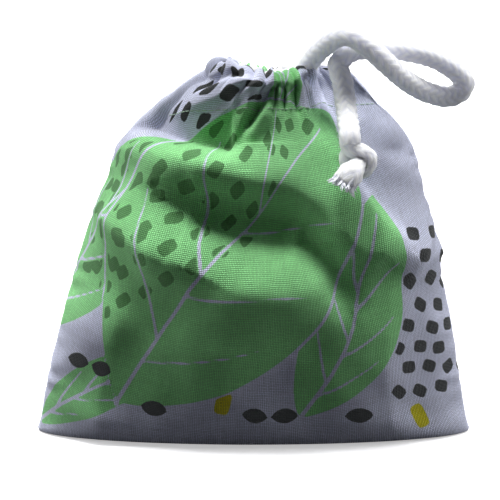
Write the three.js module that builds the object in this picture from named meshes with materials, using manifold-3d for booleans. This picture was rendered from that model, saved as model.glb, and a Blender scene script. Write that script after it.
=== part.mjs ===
// A small drawstring pouch of printed cotton, filled and standing, drawn shut by a white cotton cord.
// Millimetres, +Z up, front towards -Y. The origin is the middle of the base it stands on.
import * as THREE from "three";
import { mergeVertices } from "three/addons/utils/BufferGeometryUtils.js";
import Module from "manifold-3d";

const wasm = await Module();
wasm.setup();

// Driving dimensions
const bagWidth = 111.5;
const bagHeight = 98.5;
const bagDepth = 51;
const clothWall = 1.2;
const clearance = 0.3;

// The mouth: two lips that lean apart about a line across the bag
const lipHeight = 36.5;
const lipOpenDegrees = 18;
const lipRunningDegrees = 2;
const foldInset = 4;

// The neck and the two casings that hold the cord
const hemHeight = 12.5;
const cordBelowMouth = 4.5;
const mouthHalfGap = 2.7;
const mouthHalfWidth = 11;
const mouthCentreX = 3.5;
const casingHalfSpread = 6;
const casingLeftX = -1.5;
const casingRightX = 9;
const turnLead = 1;
const gatherDepth = 1.3;
const gatherCount = 22;

// The cord and its knots
const cordDiameter = 5;
const cordClearance = 0.3;
const knotWidth = 10.4;
const knotHeight = 8.8;
const knotDepth = 8.2;
const knotTailLength = 6.5;
const frayDiameter = 6.2;

// Seam allowances inside the bag
const allowanceWidth = 6;
const allowanceThickness = 1;
const sideSeamLowest = 5;
const sideSeamBelowLip = 4;

// The outline seen from the front: share of the height, then left and right edges as shares of the width
const outlineShares = [
  [0, -0.503, 0.503],
  [0.152, -0.478, 0.475],
  [0.345, -0.4385, 0.4475],
  [0.538, -0.392, 0.4125],
  [0.67, -0.347, 0.394],
  [0.764, -0.3175, 0.37],
  [0.828, -0.277, 0.334],
  [0.893, -0.2125, 0.275],
  [0.954, -0.14, 0.225],
  [1, -0.1, 0.165],
];
// The half depth at mid width: share of the height, then share of the whole depth
const depthShares = [
  [0, 0.36],
  [0.02, 0.42],
  [0.06, 0.452],
  [0.16, 0.485],
  [0.35, 0.5],
  [0.52, 0.48],
  [0.66, 0.43],
  [0.76, 0.375],
  [0.86, 0.3],
  [0.93, 0.255],
  [1, 0.23],
];
// How flat the side edges are pinched, as shares of a plain cosine's power: high at the base, round at the neck
const basePinchShare = 1.3;
const neckPinchShare = 0.5;
const slotPinchShare = 0.125;
const pinchFade = 1.8;
// Where the rings of the outer and inner surfaces lie, as shares of the height
const ringShares = [0, 0.02, 0.06, 0.13, 0.24, 0.36, 0.48, 0.58, 0.67, 0.74, 0.8, 0.85, 0.9, 0.95, 1];
const gatherStartShare = 0.72;
const gatherFullShare = 0.95;

// Counts
const outerSteps = 88;
const innerSteps = 40;
const cordSides = 10;
const boreSides = 24;
const knotSides = 16;
const turnPoints = 9;
const turnSteps = 12;
const loopSteps = 40;
const tailSteps = 12;
const seamRows = 8;
const overrun = 20;

// Heights that follow from the bag's own
const lipHingeHeight = bagHeight - lipHeight;
const neckFloorHeight = bagHeight - hemHeight;
const casingHeight = bagHeight - cordBelowMouth;
const sideSeamHighest = lipHingeHeight - sideSeamBelowLip;

// The cord's route. These points are chosen by hand and repeated where the cord is dressed.
const loopRoute = [
  [9.3, -6, 94],
  [10.3, -6, 94],
  [12.8, -6, 95.1],
  [15.3, -6.1, 97.8],
  [18, -6.3, 101.2],
  [21.5, -6.4, 103.7],
  [25.7, -6.4, 104],
  [30.6, -6.2, 101.6],
  [36.7, -5.8, 96.9],
  [42.2, -5.4, 93],
  [47.8, -5.2, 90.6],
  [52.6, -5.4, 90.7],
  [55.2, -6, 93.6],
  [53.9, -7, 97.1],
  [49.4, -8.4, 99.8],
  [42.4, -10, 101.7],
  [36, -11.6, 103],
  [31, -12.3, 103.4],
  [29.8, -12.3, 103.4],
];
const frontEndRoute = [
  [29.5, -12.3, 103.4],
  [28.3, -12.3, 103.4],
  [25, -12.3, 101.8],
  [23, -12.4, 98],
  [22.8, -13.4, 93],
  [23.5, -16.4, 87.2],
  [24.8, -20.8, 83],
  [24.8, -21.3, 82],
];
const rearEndRoute = [
  [9.3, 6, 94],
  [10.3, 6, 94],
  [13, 6.1, 94.3],
  [16.4, 6.8, 94.6],
  [20, 9.2, 93],
  [22.4, 12.9, 89],
  [23.6, 17, 85.2],
  [24.4, 21.1, 81.8],
  [24.4, 21.7, 80.8],
];

const printCotton = new THREE.MeshStandardMaterial({ color: 0x8fbf8a, roughness: 0.92, metalness: 0 });
const plainCotton = new THREE.MeshStandardMaterial({ color: 0xb4b8c8, roughness: 0.95, metalness: 0 });
const whiteCord = new THREE.MeshStandardMaterial({ color: 0xe8ebf6, roughness: 0.85, metalness: 0 });

// A smooth curve through a table's rows: column 0 is the height share, column k the value.
function profile(rows, k) {
  const slope = (i) => {
    const a = Math.max(i - 1, 0);
    const b = Math.min(i + 1, rows.length - 1);
    return (rows[b][k] - rows[a][k]) / (rows[b][0] - rows[a][0]);
  };
  return (share) => {
    const h = THREE.MathUtils.clamp(share, rows[0][0], rows[rows.length - 1][0]);
    let i = 0;
    while (i < rows.length - 2 && h > rows[i + 1][0]) i += 1;
    const span = rows[i + 1][0] - rows[i][0];
    const t = (h - rows[i][0]) / span;
    const bend = (rows[i + 1][k] - rows[i][k]) * t * t * (3 - 2 * t);
    const lean = span * (slope(i) * t * (1 - t) * (1 - t) - slope(i + 1) * t * t * (1 - t));
    return rows[i][k] + bend + lean;
  };
}

const leftShare = profile(outlineShares, 1);
const rightShare = profile(outlineShares, 2);
const depthShare = profile(depthShares, 1);

// The level section of the bag at one height share.
function sectionAt(share) {
  const left = bagWidth * leftShare(share);
  const right = bagWidth * rightShare(share);
  const pinch = neckPinchShare + (basePinchShare - neckPinchShare) * Math.pow(1 - share, pinchFade);
  return { centre: (left + right) / 2, half: (right - left) / 2, depth: bagDepth * depthShare(share), pinch };
}

// The same section, drawn in by a wall all round.
function insetSection(section, wall) {
  const tip = Math.sqrt(1 - Math.pow(wall / section.depth, 1 / section.pinch));
  return {
    centre: section.centre,
    half: Math.min(section.half - wall, section.half * tip),
    depth: section.depth - wall,
    pinch: section.pinch,
  };
}

// One ring of points: x follows a cosine, y a power of the sine, and gathers swell it in and out.
function ring(section, z, steps, gather) {
  const points = [];
  for (let i = 0; i < steps; i += 1) {
    const angle = (i / steps) * Math.PI * 2;
    const swell = 1 - gather * (1 - Math.cos(angle * gatherCount));
    const side = Math.sin(angle);
    const reach = Math.pow(Math.abs(side), 2 * section.pinch) * Math.sign(side);
    const x = section.centre + section.half * Math.cos(angle) * swell;
    points.push(new THREE.Vector3(x, section.depth * reach * swell, z));
  }
  return points;
}

// A closed body through rings of equally many points, with a flat fan at each end.
function loft(rings) {
  const steps = rings[0].length;
  const positions = rings.flat().flatMap((p) => [p.x, p.y, p.z]);
  const index = [];
  for (let r = 0; r < rings.length - 1; r += 1) {
    for (let i = 0; i < steps; i += 1) {
      const j = (i + 1) % steps;
      const low = r * steps;
      const high = low + steps;
      index.push(low + i, low + j, high + j, low + i, high + j, high + i);
    }
  }
  const addCap = (r, facesUp) => {
    const middle = rings[r].reduce((sum, p) => sum.add(p), new THREE.Vector3()).divideScalar(steps);
    const hub = positions.length / 3;
    positions.push(middle.x, middle.y, middle.z);
    for (let i = 0; i < steps; i += 1) {
      const a = r * steps + i;
      const b = r * steps + ((i + 1) % steps);
      index.push(hub, facesUp ? a : b, facesUp ? b : a);
    }
  };
  addCap(0, false);
  addCap(rings.length - 1, true);
  const geometry = new THREE.BufferGeometry();
  geometry.setAttribute("position", new THREE.Float32BufferAttribute(positions, 3));
  geometry.setIndex(index);
  return geometry;
}

function toSolid(geometry) {
  const bare = geometry.clone();
  bare.deleteAttribute("normal");
  bare.deleteAttribute("uv");
  const merged = mergeVertices(bare, 1e-4);
  return new wasm.Manifold(
    new wasm.Mesh({
      numProp: 3,
      vertProperties: merged.attributes.position.array,
      triVerts: new Uint32Array(merged.index.array),
    }),
  );
}

function toGeometry(solid) {
  const mesh = solid.getMesh();
  const geometry = new THREE.BufferGeometry();
  geometry.setAttribute("position", new THREE.BufferAttribute(mesh.vertProperties, mesh.numProp));
  geometry.setIndex(new THREE.BufferAttribute(mesh.triVerts, 1));
  geometry.computeVertexNormals();
  return geometry;
}

// A box from its lowest to its highest corner.
function boxSolid(low, high) {
  const size = high.map((value, i) => value - low[i]);
  const box = new THREE.BoxGeometry(size[0], size[1], size[2]);
  box.translate(low[0] + size[0] / 2, low[1] + size[1] / 2, low[2] + size[2] / 2);
  return toSolid(box);
}

// Everything above a plane that passes through the lip hinge and rises away from the seam.
function aboveTiltedPlane(side, degrees, lift) {
  const box = new THREE.BoxGeometry(bagWidth + overrun, bagHeight + overrun, bagHeight + overrun);
  box.translate(0, 0, (bagHeight + overrun) / 2);
  box.rotateX(side * THREE.MathUtils.degToRad(degrees));
  box.translate(0, 0, lipHingeHeight + lift);
  return toSolid(box);
}

// A round tube along a smooth curve through the route's points.
function tubeGeometry(route, diameter, steps) {
  const curve = new THREE.CatmullRomCurve3(route.map((p) => new THREE.Vector3(...p)), false, "centripetal");
  const section = new THREE.Shape();
  for (let i = 0; i < cordSides; i += 1) {
    const angle = (i / cordSides) * Math.PI * 2;
    const x = (diameter / 2) * Math.cos(angle);
    const y = (diameter / 2) * Math.sin(angle);
    if (i === 0) section.moveTo(x, y);
    else section.lineTo(x, y);
  }
  return new THREE.ExtrudeGeometry(section, { steps, extrudePath: curve, bevelEnabled: false });
}

// The half circle that the cord makes at the left end, from the front casing to the back one.
function turnRoute() {
  const straight = casingLeftX - clearance;
  const points = [[straight, -casingHalfSpread, casingHeight]];
  for (let i = 0; i < turnPoints; i += 1) {
    const angle = Math.PI / 2 + (Math.PI * i) / (turnPoints - 1);
    const x = straight - turnLead + casingHalfSpread * Math.cos(angle);
    points.push([x, -casingHalfSpread * Math.sin(angle), casingHeight]);
  }
  points.push([straight, casingHalfSpread, casingHeight]);
  return points;
}

function alongX(diameter, fromX, toX, y, sides) {
  const bar = new THREE.CylinderGeometry(diameter / 2, diameter / 2, toX - fromX, sides);
  bar.rotateZ(Math.PI / 2);
  bar.translate((fromX + toX) / 2, y, casingHeight);
  return bar;
}

// The whole bag as one hollow body, before it is split into its panels and lips.
function bagShell() {
  const outer = ringShares.map((share) => {
    const amount = THREE.MathUtils.smoothstep(share, gatherStartShare, gatherFullShare);
    const gather = (gatherDepth / sectionAt(1).depth / 2) * amount;
    return ring(sectionAt(share), share * bagHeight, outerSteps, gather);
  });
  const neckFloorShare = neckFloorHeight / bagHeight;
  const below = ringShares.filter((share) => share > 0 && share * bagHeight < neckFloorHeight - 2 * clothWall);
  const inner = [ring(insetSection(sectionAt(0), clothWall), clothWall, innerSteps, 0)];
  for (const share of below) {
    const z = Math.max(share * bagHeight, clothWall * (1 + share));
    inner.push(ring(insetSection(sectionAt(share), clothWall + gatherDepth * share), z, innerSteps, 0));
  }
  const slot = { centre: mouthCentreX, half: mouthHalfWidth, depth: mouthHalfGap, pinch: slotPinchShare };
  inner.push(ring(insetSection(sectionAt(neckFloorShare), 4 * clothWall), neckFloorHeight - clothWall, innerSteps, 0));
  inner.push(ring(slot, neckFloorHeight + clothWall, innerSteps, 0));
  inner.push(ring(slot, bagHeight + overrun, innerSteps, 0));
  return toSolid(loft(outer)).subtract(toSolid(loft(inner)));
}

// The channel that the cord runs in: a straight bore in each casing and the turn at the left.
function cordChannel() {
  const bore = cordDiameter + 2 * cordClearance;
  let channel = toSolid(tubeGeometry(turnRoute(), bore + cordClearance, turnSteps));
  for (const side of [-1, 1]) {
    const y = side * casingHalfSpread;
    channel = channel.add(toSolid(alongX(bore, casingLeftX - clearance, casingRightX + overrun, y, boreSides)));
  }
  return channel;
}

// The free space at the right end of the casings, where the cord comes out and swings.
function exitSpace(side) {
  const near = side * (mouthHalfGap - cordClearance);
  const far = side * bagDepth;
  return boxSolid(
    [casingRightX, Math.min(near, far), neckFloorHeight],
    [bagWidth, Math.max(near, far), bagHeight + overrun],
  );
}

function halfSpace(side) {
  const near = (side * clearance) / 2;
  const far = side * bagDepth;
  return boxSolid(
    [-bagWidth, Math.min(near, far), -overrun],
    [bagWidth, Math.max(near, far), bagHeight + overrun],
  );
}

function lowerPanel(shell, side) {
  const low = boxSolid([-bagWidth, -bagDepth, -overrun], [bagWidth, bagDepth, lipHingeHeight]);
  return shell.intersect(halfSpace(side)).intersect(low);
}

function neckLip(shell, side) {
  const tilt = lipOpenDegrees + lipRunningDegrees;
  const above = aboveTiltedPlane(side, tilt, clearance);
  return shell.intersect(halfSpace(side)).intersect(above).subtract(cordChannel()).subtract(exitSpace(side));
}

// The wedge of cloth between panel and lip, which folds as the lip leans out.
function shoulderFold(shell, side) {
  const tilt = lipOpenDegrees + lipRunningDegrees;
  const near = side * foldInset;
  const far = side * bagDepth;
  const outside = boxSolid(
    [-bagWidth, Math.min(near, far), lipHingeHeight + clearance],
    [bagWidth, Math.max(near, far), bagHeight + overrun],
  );
  return shell.intersect(outside).subtract(aboveTiltedPlane(side, tilt, 0));
}

// Half width of the bag's inside at a height and a distance from the seam plane.
function insideHalfWidth(share, offset) {
  const inside = insetSection(sectionAt(share), clothWall + gatherDepth * share);
  const reach = Math.pow(offset / inside.depth, 1 / inside.pinch);
  return inside.half * Math.sqrt(1 - reach);
}

// The flap of turned-in cloth that follows one side seam inside the bag.
function sideAllowance(side) {
  const outline = [];
  const innerEdge = [];
  const offset = allowanceThickness / 2 + clearance;
  for (let i = 0; i <= seamRows; i += 1) {
    const z = THREE.MathUtils.lerp(sideSeamLowest, sideSeamHighest, i / seamRows);
    const share = z / bagHeight;
    const edge = sectionAt(share).centre + side * (insideHalfWidth(share, offset) - clearance);
    outline.push(new THREE.Vector2(edge, z));
    innerEdge.unshift(new THREE.Vector2(edge - side * allowanceWidth, z));
  }
  const flap = new THREE.ExtrudeGeometry(new THREE.Shape([...outline, ...innerEdge]), {
    depth: allowanceThickness,
    bevelEnabled: false,
  });
  flap.rotateX(Math.PI / 2);
  flap.translate(0, allowanceThickness / 2, 0);
  return flap;
}

// The bottom seam's flap, pressed flat on the inside of the back panel's base.
function bottomAllowance() {
  const share = (2 * clothWall) / bagHeight;
  const far = allowanceWidth + clearance;
  const reach = insideHalfWidth(share, far) - allowanceWidth / 2;
  const flap = new THREE.BoxGeometry(2 * reach, allowanceWidth, allowanceThickness);
  flap.translate(
    sectionAt(share).centre,
    clearance + allowanceWidth / 2,
    clothWall + clearance + allowanceThickness / 2,
  );
  return flap;
}

// A tight overhand knot: a round body, a wrap that crosses it and a short end that flares into a fray.
function knotGeometry(end) {
  const centre = new THREE.Vector3(end[0], end[1], end[2] - knotHeight / 2 - 2 * clearance);
  const body = new THREE.SphereGeometry(1, knotSides, knotSides / 2);
  body.scale(knotWidth / 2 - cordDiameter / 8, knotDepth / 2, knotHeight / 2);
  const wrap = new THREE.TorusGeometry((knotWidth - cordDiameter) / 2, cordDiameter / 2, 8, knotSides);
  wrap.scale(1, knotDepth / knotWidth, 1);
  wrap.rotateX(Math.PI / 3);
  wrap.rotateY(Math.PI / 10);
  wrap.scale(1, 1, knotHeight / knotWidth);
  const tail = new THREE.CylinderGeometry(cordDiameter / 2, frayDiameter / 2, knotTailLength, knotSides);
  tail.translate(0, -knotTailLength / 2, 0);
  tail.rotateX(Math.PI / 2);
  tail.rotateY(Math.PI / 4);
  const joined = toSolid(body).add(toSolid(wrap)).add(toSolid(tail));
  const geometry = toGeometry(joined);
  geometry.translate(centre.x, centre.y, centre.z);
  return geometry;
}

const pouch = new THREE.Group();

function addPiece(name, geometry, material) {
  const mesh = new THREE.Mesh(geometry, material);
  mesh.name = name;
  pouch.add(mesh);
}

const shell = bagShell();
for (const [word, side] of [
  ["front", -1],
  ["back", 1],
]) {
  addPiece(word + "_panel", toGeometry(lowerPanel(shell, side)), printCotton);
  addPiece(word + "_shoulder_fold", toGeometry(shoulderFold(shell, side)), printCotton);
  addPiece(word + "_neck", toGeometry(neckLip(shell, side)), printCotton);
  const run = alongX(cordDiameter, casingLeftX, casingRightX, side * casingHalfSpread, cordSides);
  addPiece(word + "_run", run, whiteCord);
}
addPiece("left_side_seam", sideAllowance(-1), plainCotton);
addPiece("right_side_seam", sideAllowance(1), plainCotton);
addPiece("bottom_seam", bottomAllowance(), plainCotton);
addPiece("cord_turn", tubeGeometry(turnRoute(), cordDiameter, turnSteps), whiteCord);
addPiece("pull_loop", tubeGeometry(loopRoute, cordDiameter, loopSteps), whiteCord);
addPiece("front_end", tubeGeometry(frontEndRoute, cordDiameter, tailSteps), whiteCord);
addPiece("front_knot", knotGeometry(frontEndRoute[frontEndRoute.length - 1]), whiteCord);
addPiece("rear_end", tubeGeometry(rearEndRoute, cordDiameter, tailSteps), whiteCord);
addPiece("rear_knot", knotGeometry(rearEndRoute[rearEndRoute.length - 1]), whiteCord);

export default pouch;
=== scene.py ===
# %% [markdown]
# # A drawstring pouch of printed cotton
#
# The real pouch is two panels of printed plain-weave cotton, sewn at the sides and the bottom and
# turned right side out. A deep hem at the top of each panel is stitched down as a casing, and one
# white braided cord runs through both casings. Pulling the cord gathers the neck into tight folds.
#
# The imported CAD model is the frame: it fixes the size, the joints and where everything lies. This
# script gives each piece its finished surface. All lengths are metres.

# %% Load the frame and measure it
import math
import bpy
import numpy as np
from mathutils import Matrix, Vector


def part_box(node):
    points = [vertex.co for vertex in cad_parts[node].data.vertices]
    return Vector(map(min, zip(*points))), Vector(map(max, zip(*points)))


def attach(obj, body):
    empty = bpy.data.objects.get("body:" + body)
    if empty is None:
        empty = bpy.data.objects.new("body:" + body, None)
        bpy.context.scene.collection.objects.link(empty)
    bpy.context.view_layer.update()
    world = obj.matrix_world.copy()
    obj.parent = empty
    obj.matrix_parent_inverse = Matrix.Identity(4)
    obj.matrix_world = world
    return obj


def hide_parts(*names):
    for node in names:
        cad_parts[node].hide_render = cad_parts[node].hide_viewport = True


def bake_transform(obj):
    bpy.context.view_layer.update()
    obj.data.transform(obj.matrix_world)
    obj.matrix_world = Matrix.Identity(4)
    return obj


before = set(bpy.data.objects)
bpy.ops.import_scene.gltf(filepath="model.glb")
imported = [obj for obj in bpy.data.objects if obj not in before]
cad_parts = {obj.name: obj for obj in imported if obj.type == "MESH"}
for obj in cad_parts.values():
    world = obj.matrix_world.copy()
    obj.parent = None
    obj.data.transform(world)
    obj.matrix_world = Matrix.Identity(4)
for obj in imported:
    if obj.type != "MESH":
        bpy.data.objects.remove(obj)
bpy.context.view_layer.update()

rim_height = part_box("front_neck")[1].z
bag_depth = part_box("back_panel")[1].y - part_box("front_panel")[0].y
scene = bpy.context.scene

# %% [markdown]
# ## The camera
#
# The pouch was seen from a little above, from about half a metre away, so its front edge lies lower
# in the picture than its corners. A long lens keeps the sides nearly parallel. The picture is 130 mm
# wide where it crosses the middle plane of the pouch.

# %% The camera, from its elevation, its distance and the width it sees
camera_elevation = math.radians(11.5)
camera_distance = 0.45
picture_width = 0.13
picture_centre = np.array([-0.001, 0, 0.0483])


def make_camera():
    """A camera on a line that rises at the elevation from the picture's centre towards the viewer."""
    back = np.array([0, -math.cos(camera_elevation), math.sin(camera_elevation)])
    data = bpy.data.cameras.new("camera")
    data.lens = data.sensor_width * camera_distance / picture_width
    camera = bpy.data.objects.new("camera", data)
    camera.location = picture_centre + back * camera_distance
    camera.rotation_euler = (math.pi / 2 - camera_elevation, 0, 0)
    scene.collection.objects.link(camera)
    scene.camera = camera
    return camera


camera = make_camera()
print("lens", round(camera.data.lens, 1), "mm")

# %% [markdown]
# ## Helpers for surfaces made of points
#
# Every piece here is a grid of points worked out as whole arrays: rows run along the piece, and
# columns run across it or round it. One helper turns such a grid into a mesh. Another makes many thin
# tubes at once, which serves for stitches, frayed yarns and the fluff on the cord.

# %% Smooth steps and smooth profiles
def smooth(low, high, value):
    """0 below low, 1 above high, and 3t^2 - 2t^3 of the share t between them."""
    t = np.clip((np.asarray(value, float) - low) / (high - low), 0, 1)
    return t * t * (3 - 2 * t)


def mix(a, b, share):
    """a where the share is 0 and b where it is 1."""
    return a + (b - a) * share


def hump(value, spread):
    """A bell: e to the power of minus the square of the value over its spread."""
    return np.exp(-((value / spread) ** 2))


def way_along(points):
    """How far along a line of points each one lies, from 0 at the first."""
    return np.concatenate([[0], np.cumsum(np.linalg.norm(np.diff(points, axis=0), axis=1))])


def read_off(places, known, values):
    """Points between known ones: each of x, y and z is read off at the places."""
    return np.stack([np.interp(places, known, values[:, k]) for k in range(3)], axis=-1)


def profile(rows, column):
    """A cubic curve through a table's rows, whose slope at each row comes from its two neighbours."""
    table = np.asarray(rows, float)
    place, value = table[:, 0], table[:, column]
    slope = np.gradient(value, place)
    slope[1:-1] = (value[2:] - value[:-2]) / (place[2:] - place[:-2])

    def curve(share):
        share = np.clip(share, place[0], place[-1])
        i = np.clip(np.searchsorted(place, share, side="right") - 1, 0, len(place) - 2)
        span = place[i + 1] - place[i]
        t = (share - place[i]) / span
        bend = (value[i + 1] - value[i]) * t * t * (3 - 2 * t)
        lean = span * (slope[i] * t * (1 - t) ** 2 - slope[i + 1] * t * t * (1 - t))
        return value[i] + bend + lean

    return curve


# %% A grid of points as a mesh
def mesh_object(name, points, faces, uv=None, values=None):
    """A smooth-shaded object from points, lists of faces by their number of corners, a UV pair for
    each corner and named values for each point."""
    mesh = bpy.data.meshes.new(name)
    corners = np.concatenate([f.ravel() for f in faces])
    sizes = np.concatenate([np.full(len(f), f.shape[1]) for f in faces])
    mesh.vertices.add(len(points))
    mesh.vertices.foreach_set("co", np.asarray(points, np.float32).ravel())
    mesh.loops.add(len(corners))
    mesh.loops.foreach_set("vertex_index", corners.astype(np.int32))
    mesh.polygons.add(len(sizes))
    mesh.polygons.foreach_set("loop_start", (np.cumsum(sizes) - sizes).astype(np.int32))
    if uv is not None:
        layer = mesh.uv_layers.new(name="lay")
        layer.data.foreach_set("uv", np.asarray(uv, np.float32).ravel())
    for key, array in (values or {}).items():
        attribute = mesh.attributes.new(key, "FLOAT", "POINT")
        attribute.data.foreach_set("value", np.asarray(array, np.float32).ravel())
    mesh.update(calc_edges=True)
    mesh.validate()
    mesh.shade_smooth()
    piece = bpy.data.objects.new(name, mesh)
    scene.collection.objects.link(piece)
    return piece


def grid_faces(rows, columns):
    """The row and column numbers of the four corners of each quad between grid lines."""
    r, c = np.meshgrid(np.arange(rows - 1), np.arange(columns - 1), indexing="ij")
    row = np.stack([r, r, r + 1, r + 1], axis=-1).reshape(-1, 4)
    column = np.stack([c, c + 1, c + 1, c], axis=-1).reshape(-1, 4)
    return row, column


def sheet_object(name, points, uv, flip=False, values=None):
    """An open grid of rows and columns as a mesh. flip turns its faces to the other side."""
    rows, columns = points.shape[:2]
    row, column = grid_faces(rows, columns)
    if flip:
        row, column = row[:, ::-1], column[:, ::-1]
    flat_values = {key: array.reshape(-1) for key, array in (values or {}).items()}
    faces = [row * columns + column]
    return mesh_object(name, points.reshape(-1, 3), faces, uv[row, column], flat_values)


def tube_object(name, points, uv):
    """A grid whose columns run round a closed tube, with a fan of triangles over each end. The UV grid
    has one more column than the points, so that the pattern closes without a jump."""
    rows, columns = points.shape[:2]
    row, column = grid_faces(rows, columns + 1)
    quads = row * columns + column % columns
    hubs = points[[0, -1]].mean(axis=1)
    around = np.arange(columns)
    after = (around + 1) % columns
    last = (rows - 1) * columns
    start = np.stack([np.full(columns, rows * columns), after, around], axis=-1)
    end = np.stack([np.full(columns, rows * columns + 1), last + around, last + after], axis=-1)
    start_uv = np.stack([uv[0, :-1], uv[0, 1:], uv[0, :-1]], axis=1)
    end_uv = np.stack([uv[-1, :-1], uv[-1, :-1], uv[-1, 1:]], axis=1)
    corner_uv = np.concatenate([part.reshape(-1, 2) for part in (uv[row, column], start_uv, end_uv)])
    vertices = np.concatenate([points.reshape(-1, 3), hubs])
    return mesh_object(name, vertices, [quads, start, end], corner_uv)


# %% Many thin tubes in one mesh
yarn_sides = 6


def thin_tubes_object(name, centrelines, radius, sides=yarn_sides):
    """Closed tubes along centrelines of shape (tubes, rings, 3), with a radius for each ring. A ring
    lies in the plane of two directions that are square to the line."""
    tubes, rings = centrelines.shape[:2]
    along = np.gradient(centrelines, axis=1)
    along /= np.linalg.norm(along, axis=-1, keepdims=True)
    helper = np.eye(3)[np.abs(along.mean(axis=1)).argmin(axis=1)][:, None, :]
    first = np.cross(along, helper)
    first /= np.linalg.norm(first, axis=-1, keepdims=True)
    second = np.cross(along, first)
    angle = np.arange(sides) / sides * 2 * math.pi
    wide = np.cos(angle)[:, None] * first[:, :, None, :] + np.sin(angle)[:, None] * second[:, :, None, :]
    points = centrelines[:, :, None, :] + wide * radius[:, :, None, None]
    row, column = grid_faces(rings, sides + 1)
    one = row * sides + column % sides
    j = np.arange(1, sides - 2, 2)
    cap = np.stack([np.zeros_like(j), j, j + 1, j + 2], axis=-1)
    one = np.concatenate([one, cap[:, ::-1], cap + (rings - 1) * sides])
    quads = (one[None] + (np.arange(tubes) * rings * sides)[:, None, None]).reshape(-1, 4)
    return mesh_object(name, points.reshape(-1, 3), [quads])


# %% [markdown]
# ## The cord's route
#
# The cord leaves the front casing at the right, rises, falls into a loop that stands out to the
# right, comes back behind its own rise and hangs down in front of the shoulder. Its other end does
# the same at the back without a loop. The route is a list of points, near the CAD model's
# own, joined by a centripetal Catmull-Rom curve, which passes through every point and doesn't
# overshoot where the points lie close together.

# %% The route's points
cord_diameter = 0.005
casing_height = 0.094
casing_spread = 0.006
casing_left = -0.0015
casing_right = 0.009

loop_route = [
    (0.0093, -0.006, 0.094), (0.0103, -0.006, 0.094), (0.0126, -0.007, 0.0958),
    (0.0149, -0.0092, 0.0993), (0.0174, -0.0122, 0.1022), (0.0199, -0.0152, 0.1044),
    (0.0223, -0.0172, 0.1052), (0.0246, -0.0181, 0.1045), (0.027, -0.0183, 0.1029),
    (0.03, -0.0178, 0.1005), (0.033, -0.0162, 0.0977), (0.0365, -0.0136, 0.0946),
    (0.0407, -0.0108, 0.0917), (0.045, -0.0084, 0.0898), (0.0477, -0.0072, 0.0891),
    (0.0501, -0.0066, 0.0893), (0.052, -0.0066, 0.0905), (0.0528, -0.0069, 0.0923),
    (0.0522, -0.0073, 0.0938), (0.0507, -0.0079, 0.0953), (0.0478, -0.0088, 0.0974),
    (0.0434, -0.01, 0.0995), (0.0381, -0.0112, 0.1008), (0.0338, -0.0119, 0.1014),
    (0.02965, -0.0123, 0.1016),
]
front_end_route = [
    (0.0273, -0.0123, 0.1016), (0.0249, -0.0122, 0.1011), (0.0225, -0.012, 0.0998),
    (0.0209, -0.012, 0.0976), (0.0212, -0.0124, 0.0956), (0.0219, -0.0131, 0.0933),
    (0.0225, -0.0147, 0.0888), (0.0229, -0.0181, 0.0853), (0.0232, -0.0226, 0.0821),
    (0.0233, -0.0236, 0.0811),
]
rear_end_route = [
    (0.0093, 0.006, 0.094), (0.0103, 0.006, 0.094), (0.013, 0.0061, 0.0943),
    (0.0164, 0.0068, 0.0946), (0.02, 0.0092, 0.093), (0.0224, 0.0129, 0.089),
    (0.0236, 0.017, 0.0852), (0.0244, 0.0211, 0.0818), (0.0244, 0.0217, 0.0808),
]


# %% A smooth path through points
steps_per_stretch = 60


def smooth_path(route, spacing):
    """A centripetal Catmull-Rom curve, measured out again in even steps: the time between two points
    is the square root of their distance, and each stretch is a cubic with the slopes that follow."""
    p = np.asarray(route, float)
    wide = np.vstack([2 * p[0] - p[1], p, 2 * p[-1] - p[-2]])
    gap = np.sqrt(np.linalg.norm(np.diff(wide, axis=0), axis=1))[:, None]
    before, here, after = gap[:-2], gap[1:-1], gap[2:]
    a, b, c, d = wide[:-3], wide[1:-2], wide[2:-1], wide[3:]
    leave = ((b - a) / before - (c - a) / (before + here) + (c - b) / here) * here
    arrive = ((c - b) / here - (d - b) / (here + after) + (d - c) / after) * here
    t = np.linspace(0, 1, steps_per_stretch, endpoint=False)[None, :, None]
    b, c, leave, arrive = (x[:, None, :] for x in (b, c, leave, arrive))
    curve = b * (2 * t**3 - 3 * t**2 + 1) + c * (3 * t**2 - 2 * t**3)
    curve = curve + leave * (t**3 - 2 * t**2 + t) + arrive * (t**3 - t**2)
    curve = np.vstack([curve.reshape(-1, 3), p[-1:]])
    run = way_along(curve)
    steps = np.linspace(0, run[-1], max(2, round(run[-1] / spacing)) + 1)
    return read_off(steps, run, curve)


def path_length(path):
    return float(np.linalg.norm(np.diff(path, axis=0), axis=1).sum())


def carried_frames(path):
    """Two directions square to the path at each point, carried along it so that they don't spin."""
    along = np.gradient(path, axis=0)
    along /= np.linalg.norm(along, axis=1, keepdims=True)
    first = np.empty_like(along)
    start = np.cross(along[0], np.eye(3)[np.abs(along[0]).argmin()])
    first[0] = start / np.linalg.norm(start)
    for i in range(1, len(path)):
        carried = first[i - 1] - along[i] * (first[i - 1] @ along[i])
        first[i] = carried / np.linalg.norm(carried)
    return along, first, np.cross(along, first)


# %% [markdown]
# ## Braided cord
#
# The cord is a sixteen-strand round braid: eight strands wind one way, eight the other, and each
# passes over two and under two. Seen from the side, that gives upright columns of slanted grains, like
# ears of wheat. The relief is real geometry, worked out from two numbers p and q that count the
# strands of each family, and the finer streaks of the yarns come later, in the material.

# %% The relief of the braid
strands_each_way = 8
braid_pitch = 0.0024
braid_relief = 0.00034
cord_sides = 56
cord_step = 0.00033
cord_unevenness_share = 0.025
cord_waves = ((430, 0, 2), (1130, 5, 0), (770, 9, 1))
cell_wander = 0.05
strand_roundness = 0.7
strand_end_share = 0.3


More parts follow.
